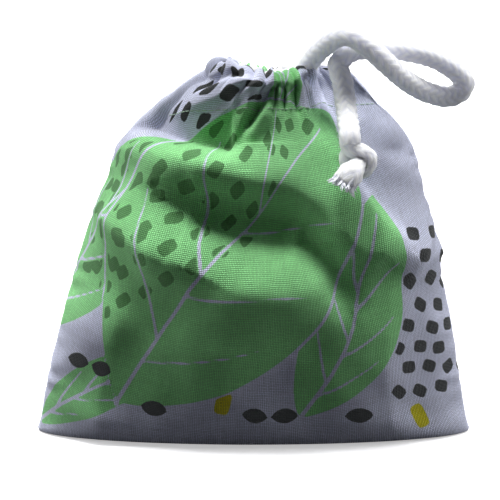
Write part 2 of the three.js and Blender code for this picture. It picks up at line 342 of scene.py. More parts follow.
def braid_height(around, along):
    """Height from 0 in the gaps to 1 on the crowns. With p = n*around + along and q = n*around - along
    the first family lies on top where the whole parts of p and q add up to 0 or 1 mod 4; a crown is a
    sine across its strand times a sine along the two strands that it crosses."""
    p = strands_each_way * around + along
    q = strands_each_way * around - along
    phase = (np.floor(p) + np.floor(q)) % 4
    first_on_top = phase < 2
    across_strand = np.where(first_on_top, p, q) % 1
    other = np.where(first_on_top, q, p) % 1
    lengthways = (other + phase % 2) / 2
    crown = np.sin(math.pi * across_strand) ** strand_roundness
    return crown * mix(strand_end_share, 1, np.sin(math.pi * lengthways))


def braided_rows(path, radius):
    """Rings of a braided tube along an even path, and their UV. The radius may change along the path,
    and a slow sum of sines makes it a little uneven, as a soft cord is. A wave has its rate in radians
    per metre along, its rate per turn round, and its start."""
    along, first, second = carried_frames(path)
    run = np.linspace(0, path_length(path), len(path))[:, None]
    around = np.arange(cord_sides + 1)[None, :] / cord_sides
    uneven = sum(np.sin(run * rate + turn * around + start) for rate, turn, start in cord_waves)
    cells = run / braid_pitch + cell_wander * uneven
    relief = braid_relief * braid_height(around, cells)
    swell = 1 + cord_unevenness_share * uneven / len(cord_waves)
    reach = np.broadcast_to(radius, len(path))[:, None] * swell
    reach = (reach - braid_relief + relief)[:, :-1]
    angle = 2 * math.pi * around[:, :-1, None]
    spokes = np.cos(angle) * first[:, None, :] + np.sin(angle) * second[:, None, :]
    points = path[:, None, :] + spokes * reach[:, :, None]
    return points, np.stack([np.broadcast_to(around, cells.shape), cells], axis=-1)


def braided_cord(name, path, radius):
    return tube_object(name, *braided_rows(path, radius))


# %% [markdown]
# ## The stopper knots
#
# Each end of the cord is tied in a tight overhand knot. The hanging cord turns right, bulges out,
# goes down and behind itself, closes the ring behind its own start, and comes forward through the
# middle, down to the left. Pulled tight, a soft cord flattens to about four fifths of its diameter.
# The last few millimetres swell a little and come apart into yarns.

# %% The knot's turns below a cord's end, and how thick the cord is in them
knot_drop = 0.0052
knot_turns = np.array([
    (0, 0.0001, 0.0036), (0.0006, -0.0003, 0.0021), (0.0026, -0.0006, 0.0017),
    (0.0046, -0.0003, 0.0003), (0.0044, 0.0006, -0.0021), (0.0024, 0.0014, -0.0034),
    (0.0002, 0.002, -0.0027), (-0.0006, 0.0024, -0.0007), (0, 0.0027, 0.0012),
    (0.0014, 0.0023, 0.0012), (0.0023, 0.0012, 0.0001), (0.0022, -0.0008, -0.0011),
    (0.0013, -0.0023, -0.002), (0.0003, -0.0032, -0.0031), (-0.0008, -0.0037, -0.0043),
    (-0.0013, -0.0038, -0.0051),
])
stub_length = 0.011
run_sag = 0.0022
knot_squeeze_share = 0.84
free_swell_share = 1.09
free_swell_lead = 0.006
knot_tip_share = 1.3
knot_lead = 0.002
knot_tip_lead = 0.006


def with_stub(route):
    """The route with a lead-in that sags like the run, so that the casing still holds cord when it is
    pulled out."""
    start = np.array(route[0])
    return [tuple(start - [stub_length, 0, 0]), tuple(start - [stub_length / 2, 0, run_sag])] + route


def knotted(route, side):
    """A route followed by its knot's turns, with front and back swapped for the cord at the back."""
    centre = np.array(route[-1]) - [0, 0, knot_drop]
    turns = knot_turns * [1, -side, 1] + centre
    return route + [tuple(p) for p in turns]


def knotted_radius(path, route):
    """Half the diameter in the casing, a little more where the soft cord is free, squeezed in the knot
    that follows the route, and swollen at the tip."""
    run = np.linspace(0, path_length(path), len(path))
    free = mix(1, free_swell_share, smooth(stub_length, stub_length + free_swell_lead, run))
    knot_start = np.array(route[-1]) - [0, 0, knot_drop - knot_turns[0, 2]]
    begins = run[int(np.argmin(np.linalg.norm(path - knot_start, axis=1)))]
    squeezed = mix(free, knot_squeeze_share, smooth(begins, begins + knot_lead, run))
    tip = smooth(run[-1] - knot_tip_lead, run[-1] - knot_tip_lead / 3, run)
    return cord_diameter / 2 * mix(squeezed, knot_tip_share, tip)


# %% Lay out the cord, from a stub in each casing to the knots
front_route = with_stub(loop_route + front_end_route)
rear_route = with_stub(rear_end_route)
front_path = smooth_path(knotted(front_route, -1), cord_step)
rear_path = smooth_path(knotted(rear_route, 1), cord_step)
front_radius = knotted_radius(front_path, front_route)
rear_radius = knotted_radius(rear_path, rear_route)
print("points along the cord", len(front_path), "in front and", len(rear_path), "at the back")

# %% The loop and the hanging end meet below the axis on which the hanging end swings, ring on ring
tail_hinge = (0.02965, -0.0123, 0.1034)
cut = int(np.argmin(np.linalg.norm(front_path - tail_hinge, axis=1)))
front_rings, front_lay = braided_rows(front_path, front_radius)
loop_path, hanging_path = front_path[:cut + 1], front_path[cut:]
drawstring = tube_object("drawstring_loop", front_rings[:cut + 1], front_lay[:cut + 1])
hanging_end = tube_object("hanging_end", front_rings[cut:], front_lay[cut:])
rear_string = braided_cord("rear_drawstring", rear_path, rear_radius)
for words, path in (("loop", loop_path), ("hanging end", hanging_path), ("rear cord", rear_path)):
    print(words, "length", round(path_length(path), 4))

# %% Frayed tips
yarn_count = 120
yarn_rings = 10
yarn_width = 0.00036
fray_length = 0.0023
fray_overlap_share = 0.9
fray_axis_steps = 7
fray_scatter = 0.0002
fray_curl = 0.0005
fray_spread_share = 0.55
fray_rim_power = 0.4
shortest_yarn_share = 0.35
yarn_end_share = 0.3
yarn_taper_shares = (0.5, 1)
yarn_root_shares = (-fray_overlap_share, -0.3)



def frayed_yarns(name, path, seed):
    """Yarns that start along the cord's tip and spread as they leave it, each bent its own way: a
    point's distance from the tip's axis grows with the square of its distance along it."""
    draw = np.random.default_rng(seed)
    axis = path[-1] - path[-1 - fray_axis_steps]
    axis /= np.linalg.norm(axis)
    _, first, second = (v[-1] for v in carried_frames(path))
    angle = draw.uniform(0, 2 * math.pi, yarn_count)
    reach = cord_diameter / 2 * knot_tip_share * draw.uniform(0, 1, yarn_count) ** fray_rim_power
    spread = reach * draw.uniform(0, fray_spread_share, yarn_count)
    spread = spread + draw.normal(0, fray_scatter, yarn_count)
    length = fray_length * draw.uniform(shortest_yarn_share, 1, yarn_count)
    share = np.linspace(-fray_overlap_share, 1, yarn_rings)
    out = np.cos(angle)[:, None] * first + np.sin(angle)[:, None] * second
    curl = np.cross(axis, out) * draw.normal(0, fray_curl, (yarn_count, 1))
    bend = np.clip(share, 0, 1)[None, :, None] ** 2
    lines = path[-1] + out[:, None, :] * (reach[:, None] + spread[:, None] * bend[..., 0])[..., None]
    lines = lines + axis * (length[:, None] * share)[..., None] + curl[:, None, :] * bend
    towards_tip = mix(1, yarn_end_share, smooth(*yarn_taper_shares, share))
    towards_root = mix(yarn_end_share, 1, smooth(*yarn_root_shares, share))
    radius = yarn_width / 2 * (towards_tip * towards_root)[None, :] * np.ones((yarn_count, 1))
    return thin_tubes_object(name, lines, radius)


front_fray = frayed_yarns("front_frayed_yarns", front_path, 11)
rear_fray = frayed_yarns("rear_frayed_yarns", rear_path, 12)
print("yarns in each frayed tip", yarn_count)

# %% Fluff: fine fibres that stand off the cord
fibre_width = 0.000045
fibre_reach = 0.0006
fibre_length = 0.0011
fibre_depth = 0.0002
fibre_arch = 2.2
fibre_rings = 6
fibre_sides = 4
fibre_length_shares = (0.5, 1.4)
fibre_reach_shares = (0.15, 1)
fibres_per_metre = 6500


def fluff(name, path, radius, seed):
    """Short curved fibres from random places on the cord. Each leaves the surface at a slant and bends
    back along it: its height is the sine of its arch, in radians, times the share of the way along."""
    draw = np.random.default_rng(seed)
    along, first, second = carried_frames(path)
    count = int(path_length(path) * fibres_per_metre)
    place = draw.integers(2, len(path) - 2, count)
    angle = draw.uniform(0, 2 * math.pi, count)[:, None]
    out = np.cos(angle) * first[place] + np.sin(angle) * second[place]
    sideways = np.cross(along[place], out)
    turn = draw.uniform(0, 2 * math.pi, count)[:, None]
    lie = np.cos(turn) * along[place] + np.sin(turn) * sideways
    share = np.linspace(0, 1, fibre_rings)[None, :, None]
    length = fibre_length * draw.uniform(*fibre_length_shares, (count, 1, 1))
    rise = fibre_reach * draw.uniform(*fibre_reach_shares, (count, 1, 1))
    start = path[place] + out * (radius[place] - fibre_depth)[:, None]
    height = (rise + fibre_depth) * np.sin(fibre_arch * share)
    lines = start[:, None] + lie[:, None] * length * share + out[:, None] * height
    return thin_tubes_object(name, lines, np.full((count, fibre_rings), fibre_width / 2), sides=fibre_sides)


front_fluff = fluff("loop_fluff", loop_path, front_radius[:cut + 1], 31)
tail_fluff = fluff("hanging_end_fluff", hanging_path, front_radius[cut:], 32)
rear_fluff = fluff("rear_drawstring_fluff", rear_path, rear_radius, 33)
print("fibres on the rear cord", len(rear_fluff.data.vertices) // (fibre_rings * fibre_sides))

# %% The hidden stretches: a straight run in each casing and the turn at the left
turn_lead = 0.001
gap_to_run = 0.0003
run_points = 5
turn_points = 9


def run_path(side):
    """The stretch inside one casing, with its sag in the middle."""
    places = np.linspace(casing_left, casing_right, run_points)
    sags = run_sag * np.sin(math.pi * np.linspace(0, 1, run_points))
    points = [(x, side * casing_spread, casing_height - sag) for x, sag in zip(places, sags)]
    return smooth_path(points, cord_step)


def turn_path():
    """A half circle round the left end, from the front casing to the back one, with short straights."""
    start = casing_left - gap_to_run
    angle = np.linspace(math.pi / 2, 3 * math.pi / 2, turn_points)
    arc = [
        (start - turn_lead + casing_spread * math.cos(a), -casing_spread * math.sin(a), casing_height)
        for a in angle
    ]
    points = [(start, -casing_spread, casing_height)] + arc + [(start, casing_spread, casing_height)]
    return smooth_path(points, cord_step)


front_run = braided_cord("front_casing_cord", run_path(-1), cord_diameter / 2)
back_run = braided_cord("back_casing_cord", run_path(1), cord_diameter / 2)
left_turn = braided_cord("left_turn_cord", turn_path(), cord_diameter / 2)
print("points of a run", len(front_run.data.vertices), "and of the turn", len(left_turn.data.vertices))

# %% [markdown]
# ## The shape of the filled bag
#
# From the front the bag is a dome that widens to two pointed corners. Level sections go from a flat
# lens at the bottom, pinched where the side seams run, to nearly a circle at the gathered neck. Three
# curves give the left edge, the right edge and the half depth as shares of the bag's size at each
# height, and one power says how sharply the section is pinched at its ends.

# %% The outline, the depth and the level section
bag_width = 0.1115
outline_shares = [
    (0, -0.514, 0.513), (0.152, -0.489, 0.489), (0.345, -0.4445, 0.459), (0.538, -0.394, 0.413),
    (0.67, -0.347, 0.391), (0.764, -0.3165, 0.37), (0.828, -0.275, 0.334), (0.893, -0.2105, 0.275),
    (0.954, -0.134, 0.225), (0.97, -0.112, 0.206), (1, -0.085, 0.165),
]
depth_shares = [
    (0, 0.325), (0.02, 0.35), (0.06, 0.378), (0.16, 0.429), (0.28, 0.48), (0.38, 0.507), (0.52, 0.487),
    (0.66, 0.43), (0.76, 0.375), (0.86, 0.3), (0.93, 0.255), (1, 0.23),
]
base_pinch_share = 0.45
neck_pinch_share = 0.5
pinch_fade = 1.8
left_share = profile(outline_shares, 1)
right_share = profile(outline_shares, 2)
depth_share = profile(depth_shares, 1)


def section(height):
    """Middle, half width, half depth and pinch of the level section at a height."""
    share = np.clip(height / rim_height, 0, 1)
    left, right = bag_width * left_share(share), bag_width * right_share(share)
    pinch = mix(neck_pinch_share, base_pinch_share, (1 - share) ** pinch_fade)
    return (left + right) / 2, (right - left) / 2, bag_depth * depth_share(share), pinch


# %% [markdown]
# ## One panel as a grid
#
# A panel's grid has one row for each step along the cloth: across the base, up the belly and the neck,
# over the rim, and down inside the hem to the line where the hem is stitched. Its columns are even
# steps across the cloth, so a pattern printed on the flat cloth follows them into the folds.

# %% Rows and columns of the cloth
columns = 220
base_rows = 12
belly_rows = 84
neck_rows = 58
roll_rows = 16
hem_rows = 20
cloth_half_width = 0.056
cloth_thickness = 0.00042
neck_start = 0.07
roll_height = 0.0032
roll_start = rim_height - roll_height
stitch_height = 0.0868
mouth_centre = 0.0035
mouth_half_width = 0.0105
mouth_half_gap = 0.0026
side_pleat_half_width = 0.0015
side_pleat_start = 0.058
side_pleat_full = 0.075

across = np.linspace(-1, 1, columns + 1)[None, :]
belly = np.linspace(0, neck_start, belly_rows + 1)[1:]
neck = np.linspace(neck_start, roll_start, neck_rows + 1)[1:]
hem = np.linspace(roll_start, stitch_height, hem_rows + 1)[1:]
turned = np.linspace(0, math.pi, roll_rows + 1)[1:]
roll = np.full(roll_rows, roll_start)
row_height = np.concatenate([np.zeros(base_rows), belly, neck, roll, hem])[:, None]
body_end = base_rows + belly_rows + neck_rows
roll_end = body_end + roll_rows
rows = len(row_height)
row_base = np.concatenate([np.linspace(0, 1, base_rows), np.ones(rows - base_rows)])[:, None]
roll_angle = np.concatenate([np.zeros(body_end), turned, np.full(hem_rows, math.pi)])[:, None]
print("cloth grid", rows, "by", columns + 1)

# %% The bare form of a panel
fin_half_depth = 0.0026
fin_inner_half_depth = 0.0012
fin_roll_share = 0.5
fin_places = (0.0125, 0.0168)
fin_heights = (0.077, 0.092)
neck_spread = np.array([
    (-1, -1), (-0.85, -0.945), (-0.7, -0.835), (-0.55, -0.675), (-0.4, -0.465),
    (-0.25, -0.24), (-0.1, -0.055), (0, 0.025), (0.15, 0.12), (0.3, 0.24),
    (0.45, 0.4), (0.6, 0.6), (0.75, 0.79), (0.88, 0.935), (1, 1),
])
spread_curve = profile(neck_spread, 1)
neck_spread_share = 0.92
neck_spread_heights_share = (0.25, 0.85)
mouth_pinch = 0.15
inner_stand_off_share = 0.6
hem_inset = 0.0012
hem_inset_shares = (0.93, 1)


def fin_share(x, height):
    """Where the neck narrows to a flat fin at the right, past the openings that the cord comes out of."""
    return smooth(*fin_places, x) * smooth(*fin_heights, height)


def bare_panel(side):
    """Points of a panel without its folds. Outside: x = middle + half width * xi, y = depth * (1 - xi^2)
    to the power of the pinch, where xi goes from even steps across at the base to the neck's spread,
    which packs the cloth most under the cord. The rim is half a turn from there to the mouth's slot,
    whose section is nearly a rectangle."""
    middle, half, depth, pinch = section(row_height)
    gathered = neck_spread_share * smooth(*neck_spread_heights_share, row_height / rim_height)
    xi = mix(across, spread_curve(across), gathered)
    lens = np.clip(1 - xi**2, 0, 1)
    x_out = middle + half * xi
    opened = (row_height - side_pleat_start) / (side_pleat_full - side_pleat_start)
    stand_off = side_pleat_half_width * np.clip(opened, 0, 1)
    y_out = stand_off + (depth - stand_off) * lens**pinch * row_base
    fin = fin_share(x_out, row_height)
    y_out = mix(y_out, np.minimum(y_out, fin_half_depth), fin)
    x_in = mix(mouth_centre + mouth_half_width * xi, x_out, fin)
    y_in = mix(mouth_half_gap * lens**mouth_pinch, np.minimum(fin_inner_half_depth, y_out), fin)
    y_in = np.maximum(y_in, stand_off * inner_stand_off_share)
    inside = (1 - np.cos(roll_angle)) / 2
    inset = hem_inset * np.sign(across) * smooth(*hem_inset_shares, np.abs(across))
    x = mix(x_out, x_in, inside) - inset * inside
    y = mix(y_out, y_in, inside)
    z = row_height + roll_height * np.sin(roll_angle) * mix(1, fin_roll_share, fin)
    return np.stack([x, side * y, z], axis=-1)


def outward(points, side):
    """Unit directions square to the grid, pointing out of the bag."""
    normal = np.cross(np.gradient(points, axis=1), np.gradient(points, axis=0)) * -side
    length = np.linalg.norm(normal, axis=-1, keepdims=True)
    return normal / np.maximum(length, 1e-12)


# %% [markdown]
# ## Gathers and folds
#
# Two kinds of fold lie on the form. At the neck the cord packs the cloth into pleats: rounded ridges
# with sharp creases between them, deepest at the cord and dying out one by one below it. The others
# run freely, and each follows a short route across the panel, seen from the front, with its own lift
# and its own spread on either side. A ridge has a positive lift and a valley a negative one.

# %% Pleats at the neck
crease_height = 0.092
front_pleats = np.array([
    (-0.0136, 0.089, 0.6), (-0.0075, 0.0885, 0.7), (-0.0022, 0.086, 0.8), (0.0018, 0.0845, 1),
    (0.0057, 0.083, 1), (0.008, 0.082, 1), (0.0105, 0.081, 1), (0.0126, 0.083, 0.9), (0.0142, 0.083, 1),
    (0.0166, 0.081, 1), (0.019, 0.083, 1), (0.0216, 0.087, 0.8), (0.024, 0.09, 0.6),
])
back_pleats = np.array([
    (-0.0155, 0.087, 0.6), (-0.013, 0.084, 0.8), (-0.0102, 0.086, 1), (-0.0078, 0.08, 1),
    (-0.0053, 0.083, 0.9), (-0.0022, 0.076, 1), (0.0004, 0.082, 1), (0.0031, 0.079, 1),
    (0.0056, 0.083, 0.9), (0.0088, 0.074, 0.8), (0.013, 0.081, 0.5), (0.0175, 0.083, 0.5),
    (0.0225, 0.086, 0.4),
])
pleat_depths = [
    (0, 0), (0.058, 0), (0.068, 0.0009), (0.078, 0.0016), (0.086, 0.0023), (0.094, 0.0028), (0.1, 0.0028),
]
pleat_mean_share = 0.62
pleat_roundness = 0.6
pleat_fade = 0.009
narrowest_pleat_share = 0.5
full_pleat_width_share = 0.3
inner_pleat_share = 0.34


def pleat_relief(pleats, points):
    """How far the pleats stand off the form: a sine from crease to crease, to the power of the pleats'
    roundness, so that ridges are round and creases sharp. A table row has a crease's x below the cord,
    the height at which it dies out, and its strength. Where a pleat has died out, the mean is left."""
    middle, half, _, _ = section(crease_height)
    inner = np.interp((pleats[:, 0] - middle) / half, neck_spread[:, 1], neck_spread[:, 0])
    creases = np.concatenate([[-1], inner, [1]])
    place = np.clip(np.searchsorted(creases, across, side="right") - 1, 0, len(creases) - 2)
    width = creases[place + 1] - creases[place]
    ridge = np.sin(math.pi * np.clip((across - creases[place]) / width, 0, 1)) ** pleat_roundness
    end = np.interp(across, inner, pleats[:, 1])
    height = points[..., 2]
    depth = np.interp(height, *np.transpose(pleat_depths)) * np.interp(across, inner, pleats[:, 2])
    alive = smooth(end, end + pleat_fade, height)
    size = np.minimum(1, narrowest_pleat_share + width / full_pleat_width_share)
    inside = mix(1, inner_pleat_share, smooth(0, math.pi, roll_angle))
    return depth * inside * ((pleat_mean_share + (ridge - pleat_mean_share) * alive * size) - 1)


# %% Free folds
def route_fold(points, route, lift, spreads, fades, sharpness=2):
    """A ridge or valley along a route of (x, z) points. Its height is the lift times e to the power of
    minus the distance over the spread, to the power of the sharpness: 2 gives a bell, less a crease.
    The first spread is the one on the left as the route runs."""
    flat = points[..., [0, 2]]
    route = np.asarray(route, float)
    pieces = np.diff(route, axis=0)
    lengths = np.linalg.norm(pieces, axis=1)
    total = lengths.sum()
    best = np.full(flat.shape[:2], np.inf)
    signed = np.zeros(flat.shape[:2])
    place = np.zeros(flat.shape[:2])
    for i, (start, piece, length) in enumerate(zip(route, pieces, lengths)):
        offset = flat - start
        t = np.clip((offset @ piece) / length**2, 0, 1)
        gap = offset - t[..., None] * piece
        distance = np.linalg.norm(gap, axis=-1)
        turn = piece[0] * gap[..., 1] - piece[1] * gap[..., 0]
        nearer = distance < best
        best = np.where(nearer, distance, best)
        signed = np.where(nearer, np.sign(turn), signed)
        place = np.where(nearer, (lengths[:i].sum() + t * length) / total, place)
    spread = np.where(signed > 0, spreads[0], spreads[1])
    fade_in, fade_out = fades
    ends = smooth(-fade_in, fade_in, place) * (1 - smooth(1 - fade_out, 1 + fade_out, place))
    return lift * np.exp(-((best / spread) ** sharpness)) * ends


# %% The folds of the front
front_folds = [
    # The left shoulder: a roll at the rim, a groove and a ridge under it, then the long overhung valley.
    dict(route=[(-0.0125, 0.0936), (-0.006, 0.0952), (0.0003, 0.097)],
         lift=-0.0014, spreads=(0.0012, 0.0012), fades=(0.3, 0.3)),
    dict(route=[(-0.0155, 0.0895), (-0.0083, 0.0925), (-0.0023, 0.0948), (0.0018, 0.0962)],
         lift=0.0016, spreads=(0.0015, 0.0038), fades=(0.35, 0.2)),
    dict(route=[(-0.03, 0.0848), (-0.0215, 0.0817), (-0.0145, 0.0801), (-0.0085, 0.0793), (-0.0054, 0.0792)],
         lift=-0.0072, spreads=(0.0066, 0.0027), fades=(0.4, 0.06), sharpness=1.5),
    dict(route=[(-0.028, 0.0755), (-0.015, 0.0728), (-0.006, 0.0722)],
         lift=0.0016, spreads=(0.003, 0.005), fades=(0.3, 0.3)),
    # Two gathers that lean to the left over the valley, each with a groove under it.
    dict(route=[(-0.02, 0.0868), (-0.0098, 0.0893), (-0.003, 0.0932), (0.0008, 0.0965)],
         lift=0.0012, spreads=(0.0024, 0.001), fades=(0.3, 0.15), sharpness=1.6),
    dict(route=[(-0.0135, 0.0835), (-0.0066, 0.0872), (-0.0012, 0.0918), (0.0024, 0.0962)],
         lift=0.0014, spreads=(0.0022, 0.0009), fades=(0.3, 0.15), sharpness=1.6),
    # The ridge and the dark crease that run down from the cord, left of the middle.
    dict(route=[(0.0045, 0.0968), (0.0018, 0.093), (-0.0018, 0.0872), (-0.0052, 0.0812)],
         lift=0.002, spreads=(0.0012, 0.0024), fades=(0.15, 0.35)),
    dict(route=[(0.0048, 0.094), (0.0026, 0.0892), (0.0004, 0.0862), (-0.0012, 0.0836)],
         lift=-0.0028, spreads=(0.0009, 0.0008), fades=(0.15, 0.3), sharpness=1.5),
    dict(route=[(0.0034, 0.087), (0.0006, 0.0832), (-0.0022, 0.08)],
         lift=0.0024, spreads=(0.0024, 0.0018), fades=(0.3, 0.3)),
    # Tight creases under the cord, where the cloth is packed most.
    dict(route=[(0.0056, 0.0945), (0.0057, 0.0905), (0.006, 0.0868)],
         lift=-0.002, spreads=(0.0008, 0.0008), fades=(0.2, 0.3), sharpness=1.5),
    dict(route=[(0.0072, 0.0945), (0.008, 0.091), (0.0078, 0.0878)],
         lift=-0.0017, spreads=(0.0007, 0.0007), fades=(0.2, 0.3), sharpness=1.5),
    dict(route=[(0.0104, 0.0945), (0.0105, 0.0905), (0.0109, 0.0868)],
         lift=-0.002, spreads=(0.0008, 0.0008), fades=(0.2, 0.3), sharpness=1.5),
    dict(route=[(0.012, 0.0965), (0.0135, 0.0935), (0.0152, 0.0903), (0.0166, 0.0875)],
         lift=-0.0018, spreads=(0.0007, 0.0009), fades=(0.15, 0.3), sharpness=1.5),
    # The long ridge at the right, the groove beside it, and the narrow ridge beyond.
    dict(route=[(0.0107, 0.0977), (0.0142, 0.0928), (0.0168, 0.0885), (0.0186, 0.082),
                (0.0199, 0.0757), (0.0237, 0.0666), (0.0307, 0.0581), (0.0355, 0.0525)],
         lift=0.0024, spreads=(0.0024, 0.0052), fades=(0.08, 0.2)),
    dict(route=[(0.0166, 0.094), (0.0192, 0.089), (0.0212, 0.0848), (0.0226, 0.08),
                (0.0242, 0.0745), (0.0275, 0.0695)],
         lift=-0.0026, spreads=(0.0016, 0.0016), fades=(0.2, 0.25), sharpness=1.6),
    dict(route=[(0.0128, 0.0975), (0.0159, 0.0938), (0.0186, 0.0901), (0.0226, 0.0872), (0.0256, 0.0838)],
         lift=0.0014, spreads=(0.0016, 0.0014), fades=(0.15, 0.3)),
    # Where the filling is slack: a swell, the broad hollow, and the belly's edge below it.
    dict(route=[(-0.0165, 0.0695), (-0.013, 0.07), (0, 0.0697), (0.006, 0.069), (0.012, 0.0662),
                (0.017, 0.0615), (0.0215, 0.0565), (0.028, 0.052)],
         lift=0.0026, spreads=(0.009, 0.0036), fades=(0.1, 0.2)),
    dict(route=[(-0.0155, 0.0642), (-0.0125, 0.0636), (-0.006, 0.0616), (0.001, 0.0604), (0.008, 0.0595),
                (0.0118, 0.0585)],
         lift=-0.0066, spreads=(0.0048, 0.0068), fades=(0.15, 0.15)),
    dict(route=[(0.0108, 0.0588), (0.0142, 0.056), (0.0176, 0.0517), (0.021, 0.0465), (0.0235, 0.04)],
         lift=-0.0034, spreads=(0.0036, 0.0042), fades=(0.15, 0.25)),
    dict(route=[(-0.0322, 0.0562), (-0.0296, 0.0538), (-0.0244, 0.0508), (-0.014, 0.0466), (-0.0062, 0.0434),
                (0.0016, 0.041), (0.0081, 0.0412), (0.012, 0.0428), (0.0172, 0.0465)],
         lift=0.0024, spreads=(0.0066, 0.0075), fades=(0.2, 0.2)),
    # The right shoulder and the sides.
    dict(route=[(0.0265, 0.083), (0.032, 0.0785), (0.0405, 0.0742)],
         lift=-0.0026, spreads=(0.0036, 0.0036), fades=(0.2, 0.25)),
    dict(route=[(0.027, 0.0525), (0.033, 0.0512), (0.0385, 0.0502), (0.043, 0.049)],
         lift=0.0046, spreads=(0.0125, 0.005), fades=(0.25, 0.2)),
    dict(route=[(-0.038, 0.0605), (-0.0325, 0.0565), (-0.027, 0.0535), (-0.021, 0.0505)],
         lift=0.0028, spreads=(0.011, 0.0045), fades=(0.2, 0.25)),
    dict(route=[(0.034, 0.042), (0.0335, 0.03), (0.0335, 0.018), (0.0365, 0.001)],
         lift=0.0006, spreads=(0.004, 0.003), fades=(0.3, 0.15), sharpness=1.6),
    dict(route=[(-0.034, 0.035), (-0.037, 0.024), (-0.0392, 0.014), (-0.04, 0.001)],
         lift=0.0007, spreads=(0.003, 0.004), fades=(0.3, 0.15), sharpness=1.6),
]

# %% The folds of the back
back_folds = [
    dict(route=[(0.036, 0.0885), (0.02, 0.083), (0.008, 0.0805)],
         lift=-0.003, spreads=(0.003, 0.005), fades=(0.3, 0.15), sharpness=1.6),
    dict(route=[(0.002, 0.0965), (0.0055, 0.0885), (0.0095, 0.0775), (0.011, 0.07)],
         lift=0.0018, spreads=(0.0032, 0.0018), fades=(0.2, 0.2)),
    dict(route=[(-0.002, 0.0955), (-0.0005, 0.0885), (0.001, 0.083)],
         lift=-0.0021, spreads=(0.001, 0.001), fades=(0.2, 0.3), sharpness=1.5),
    dict(route=[(-0.004, 0.096), (-0.0095, 0.086), (-0.016, 0.076), (-0.026, 0.064), (-0.031, 0.056)],
         lift=0.0019, spreads=(0.0048, 0.003), fades=(0.1, 0.2)),
    dict(route=[(-0.016, 0.064), (-0.002, 0.0615), (0.014, 0.0625)],
         lift=-0.0046, spreads=(0.0075, 0.008), fades=(0.3, 0.3)),
    dict(route=[(-0.026, 0.05), (-0.012, 0.0455), (0.006, 0.0445), (0.022, 0.049)],
         lift=0.0013, spreads=(0.006, 0.01), fades=(0.3, 0.3)),
    dict(route=[(-0.034, 0.08), (-0.026, 0.0835), (-0.018, 0.088)],
         lift=-0.0019, spreads=(0.0036, 0.0036), fades=(0.25, 0.25)),
    dict(route=[(0.03, 0.045), (0.026, 0.025), (0.03, 0.004)],
         lift=-0.0013, spreads=(0.005, 0.006), fades=(0.3, 0.2)),
    dict(route=[(-0.038, 0.034), (-0.034, 0.018), (-0.036, 0.003)],
         lift=-0.0012, spreads=(0.005, 0.005), fades=(0.3, 0.2)),
]


# %% Slack in the cloth and puckers along the seams
slack_waves = ((0.034, 0.00035), (0.024, 0.0002), (0.015, 0.00011), (0.009, 0.00005))
waves_of_each_length = 3
pucker_height = 0.00024
pucker_pitch = 0.0056
pucker_start = 0.0022
pucker_spread = 0.0028
pucker_strength_share = 0.6
pucker_strength_rate = 260
pucker_drifts = ((0.0011, 430, 0), (0.0008, 170, 1))


def slack(points, seed):
    """Broad uneven swells: a sum of sines of x and z with random turns and phases."""
    draw = np.random.default_rng(seed)
    x, z = points[..., 0], points[..., 2]
    total = np.zeros(x.shape)
    for length, height in slack_waves:
        for _ in range(waves_of_each_length):
            turn, phase = draw.uniform(0, math.pi), draw.uniform(0, 2 * math.pi)
            wave = (x * math.cos(turn) + z * math.sin(turn)) * 2 * math.pi / length
            total = total + height * np.sin(wave + phase)
    return total


def seam_puckers(points):
    """Short ripples that start at the side seams, 4 to 8 mm apart, and die out within a few mm: a sine
    of the height, which drifts by two slower sines so that the ripples are uneven."""
    from_seam = (1 - np.abs(across)) * cloth_half_width
    z = points[..., 2]
    height = z + sum(size * np.sin(z * rate + start) for size, rate, start in pucker_drifts)
    ripple = np.sin(2 * math.pi * height / pucker_pitch + 2 * np.sign(across))
    strength = mix(1, np.sin(z * pucker_strength_rate + 3 * np.sign(across)), 1 - pucker_strength_share)
    return pucker_height * ripple * strength * hump(from_seam - pucker_start, pucker_spread)


def soften(points, passes, first, last):
    """Evens out the rows from first to last: each becomes a quarter of both neighbours and half itself."""
    for _ in range(passes):
        middle = points[first:last]
        points[first:last] = (points[first - 1:last - 1] + 2 * middle + points[first + 1:last + 1]) / 4
    return points


# %% A finished panel
rim_heights = {
    -1: [(-0.02, -0.003), (-0.0125, -0.0032), (-0.0085, -0.001), (-0.006, -0.0002),
         (-0.0035, -0.0014), (0, -0.0026), (0.004, -0.0038), (0.0075, -0.0036),
         (0.0105, -0.0026), (0.0145, -0.0008), (0.02, -0.001)],
    1: [(-0.02, -0.003), (-0.0125, -0.003), (-0.0085, -0.0014), (-0.0062, -0.0006),
        (-0.004, -0.002), (0, -0.0032), (0.004, -0.004), (0.0083, -0.0036),
        (0.0115, -0.0024), (0.015, -0.001), (0.02, -0.001)],
}
rim_dip_heights = (0.09, 0.0985)
hem_gap = 0.0009
hem_joins_within = 0.0065
seam_groove_depth = 0.00035
seam_groove_spread = 0.0007
seam_groove_starts_within = 0.004
seam_fade_share = 0.045
base_fade = 0.008
base_soft_passes = 6
base_soft_rows = (base_rows - 4, base_rows + 10)
fin_relief_share = 0.3
ground_clearance = 0.0003


def hem_against_cloth(points, side):
    """Brings the hem's inner layer, towards its stitched edge, to lie just inside the outer cloth. The
    outer cloth at the same height comes from the two nearest of its rows."""
    body = slice(base_rows, body_end)
    place = np.interp(row_height[roll_end:, 0], row_height[body, 0], np.arange(base_rows, body_end))
    low = np.floor(place).astype(int)
    share = (place - low)[:, None, None]
    facing = outward(points, side)
    high = np.minimum(low + 1, body_end - 1)
    cloth = mix(points[low], points[high], share) - hem_gap * mix(facing[low], facing[high], share)
    loose = smooth(stitch_height, stitch_height + hem_joins_within, row_height[roll_end:])[..., None]
    points[roll_end:] = mix(cloth, points[roll_end:], loose)
    return points


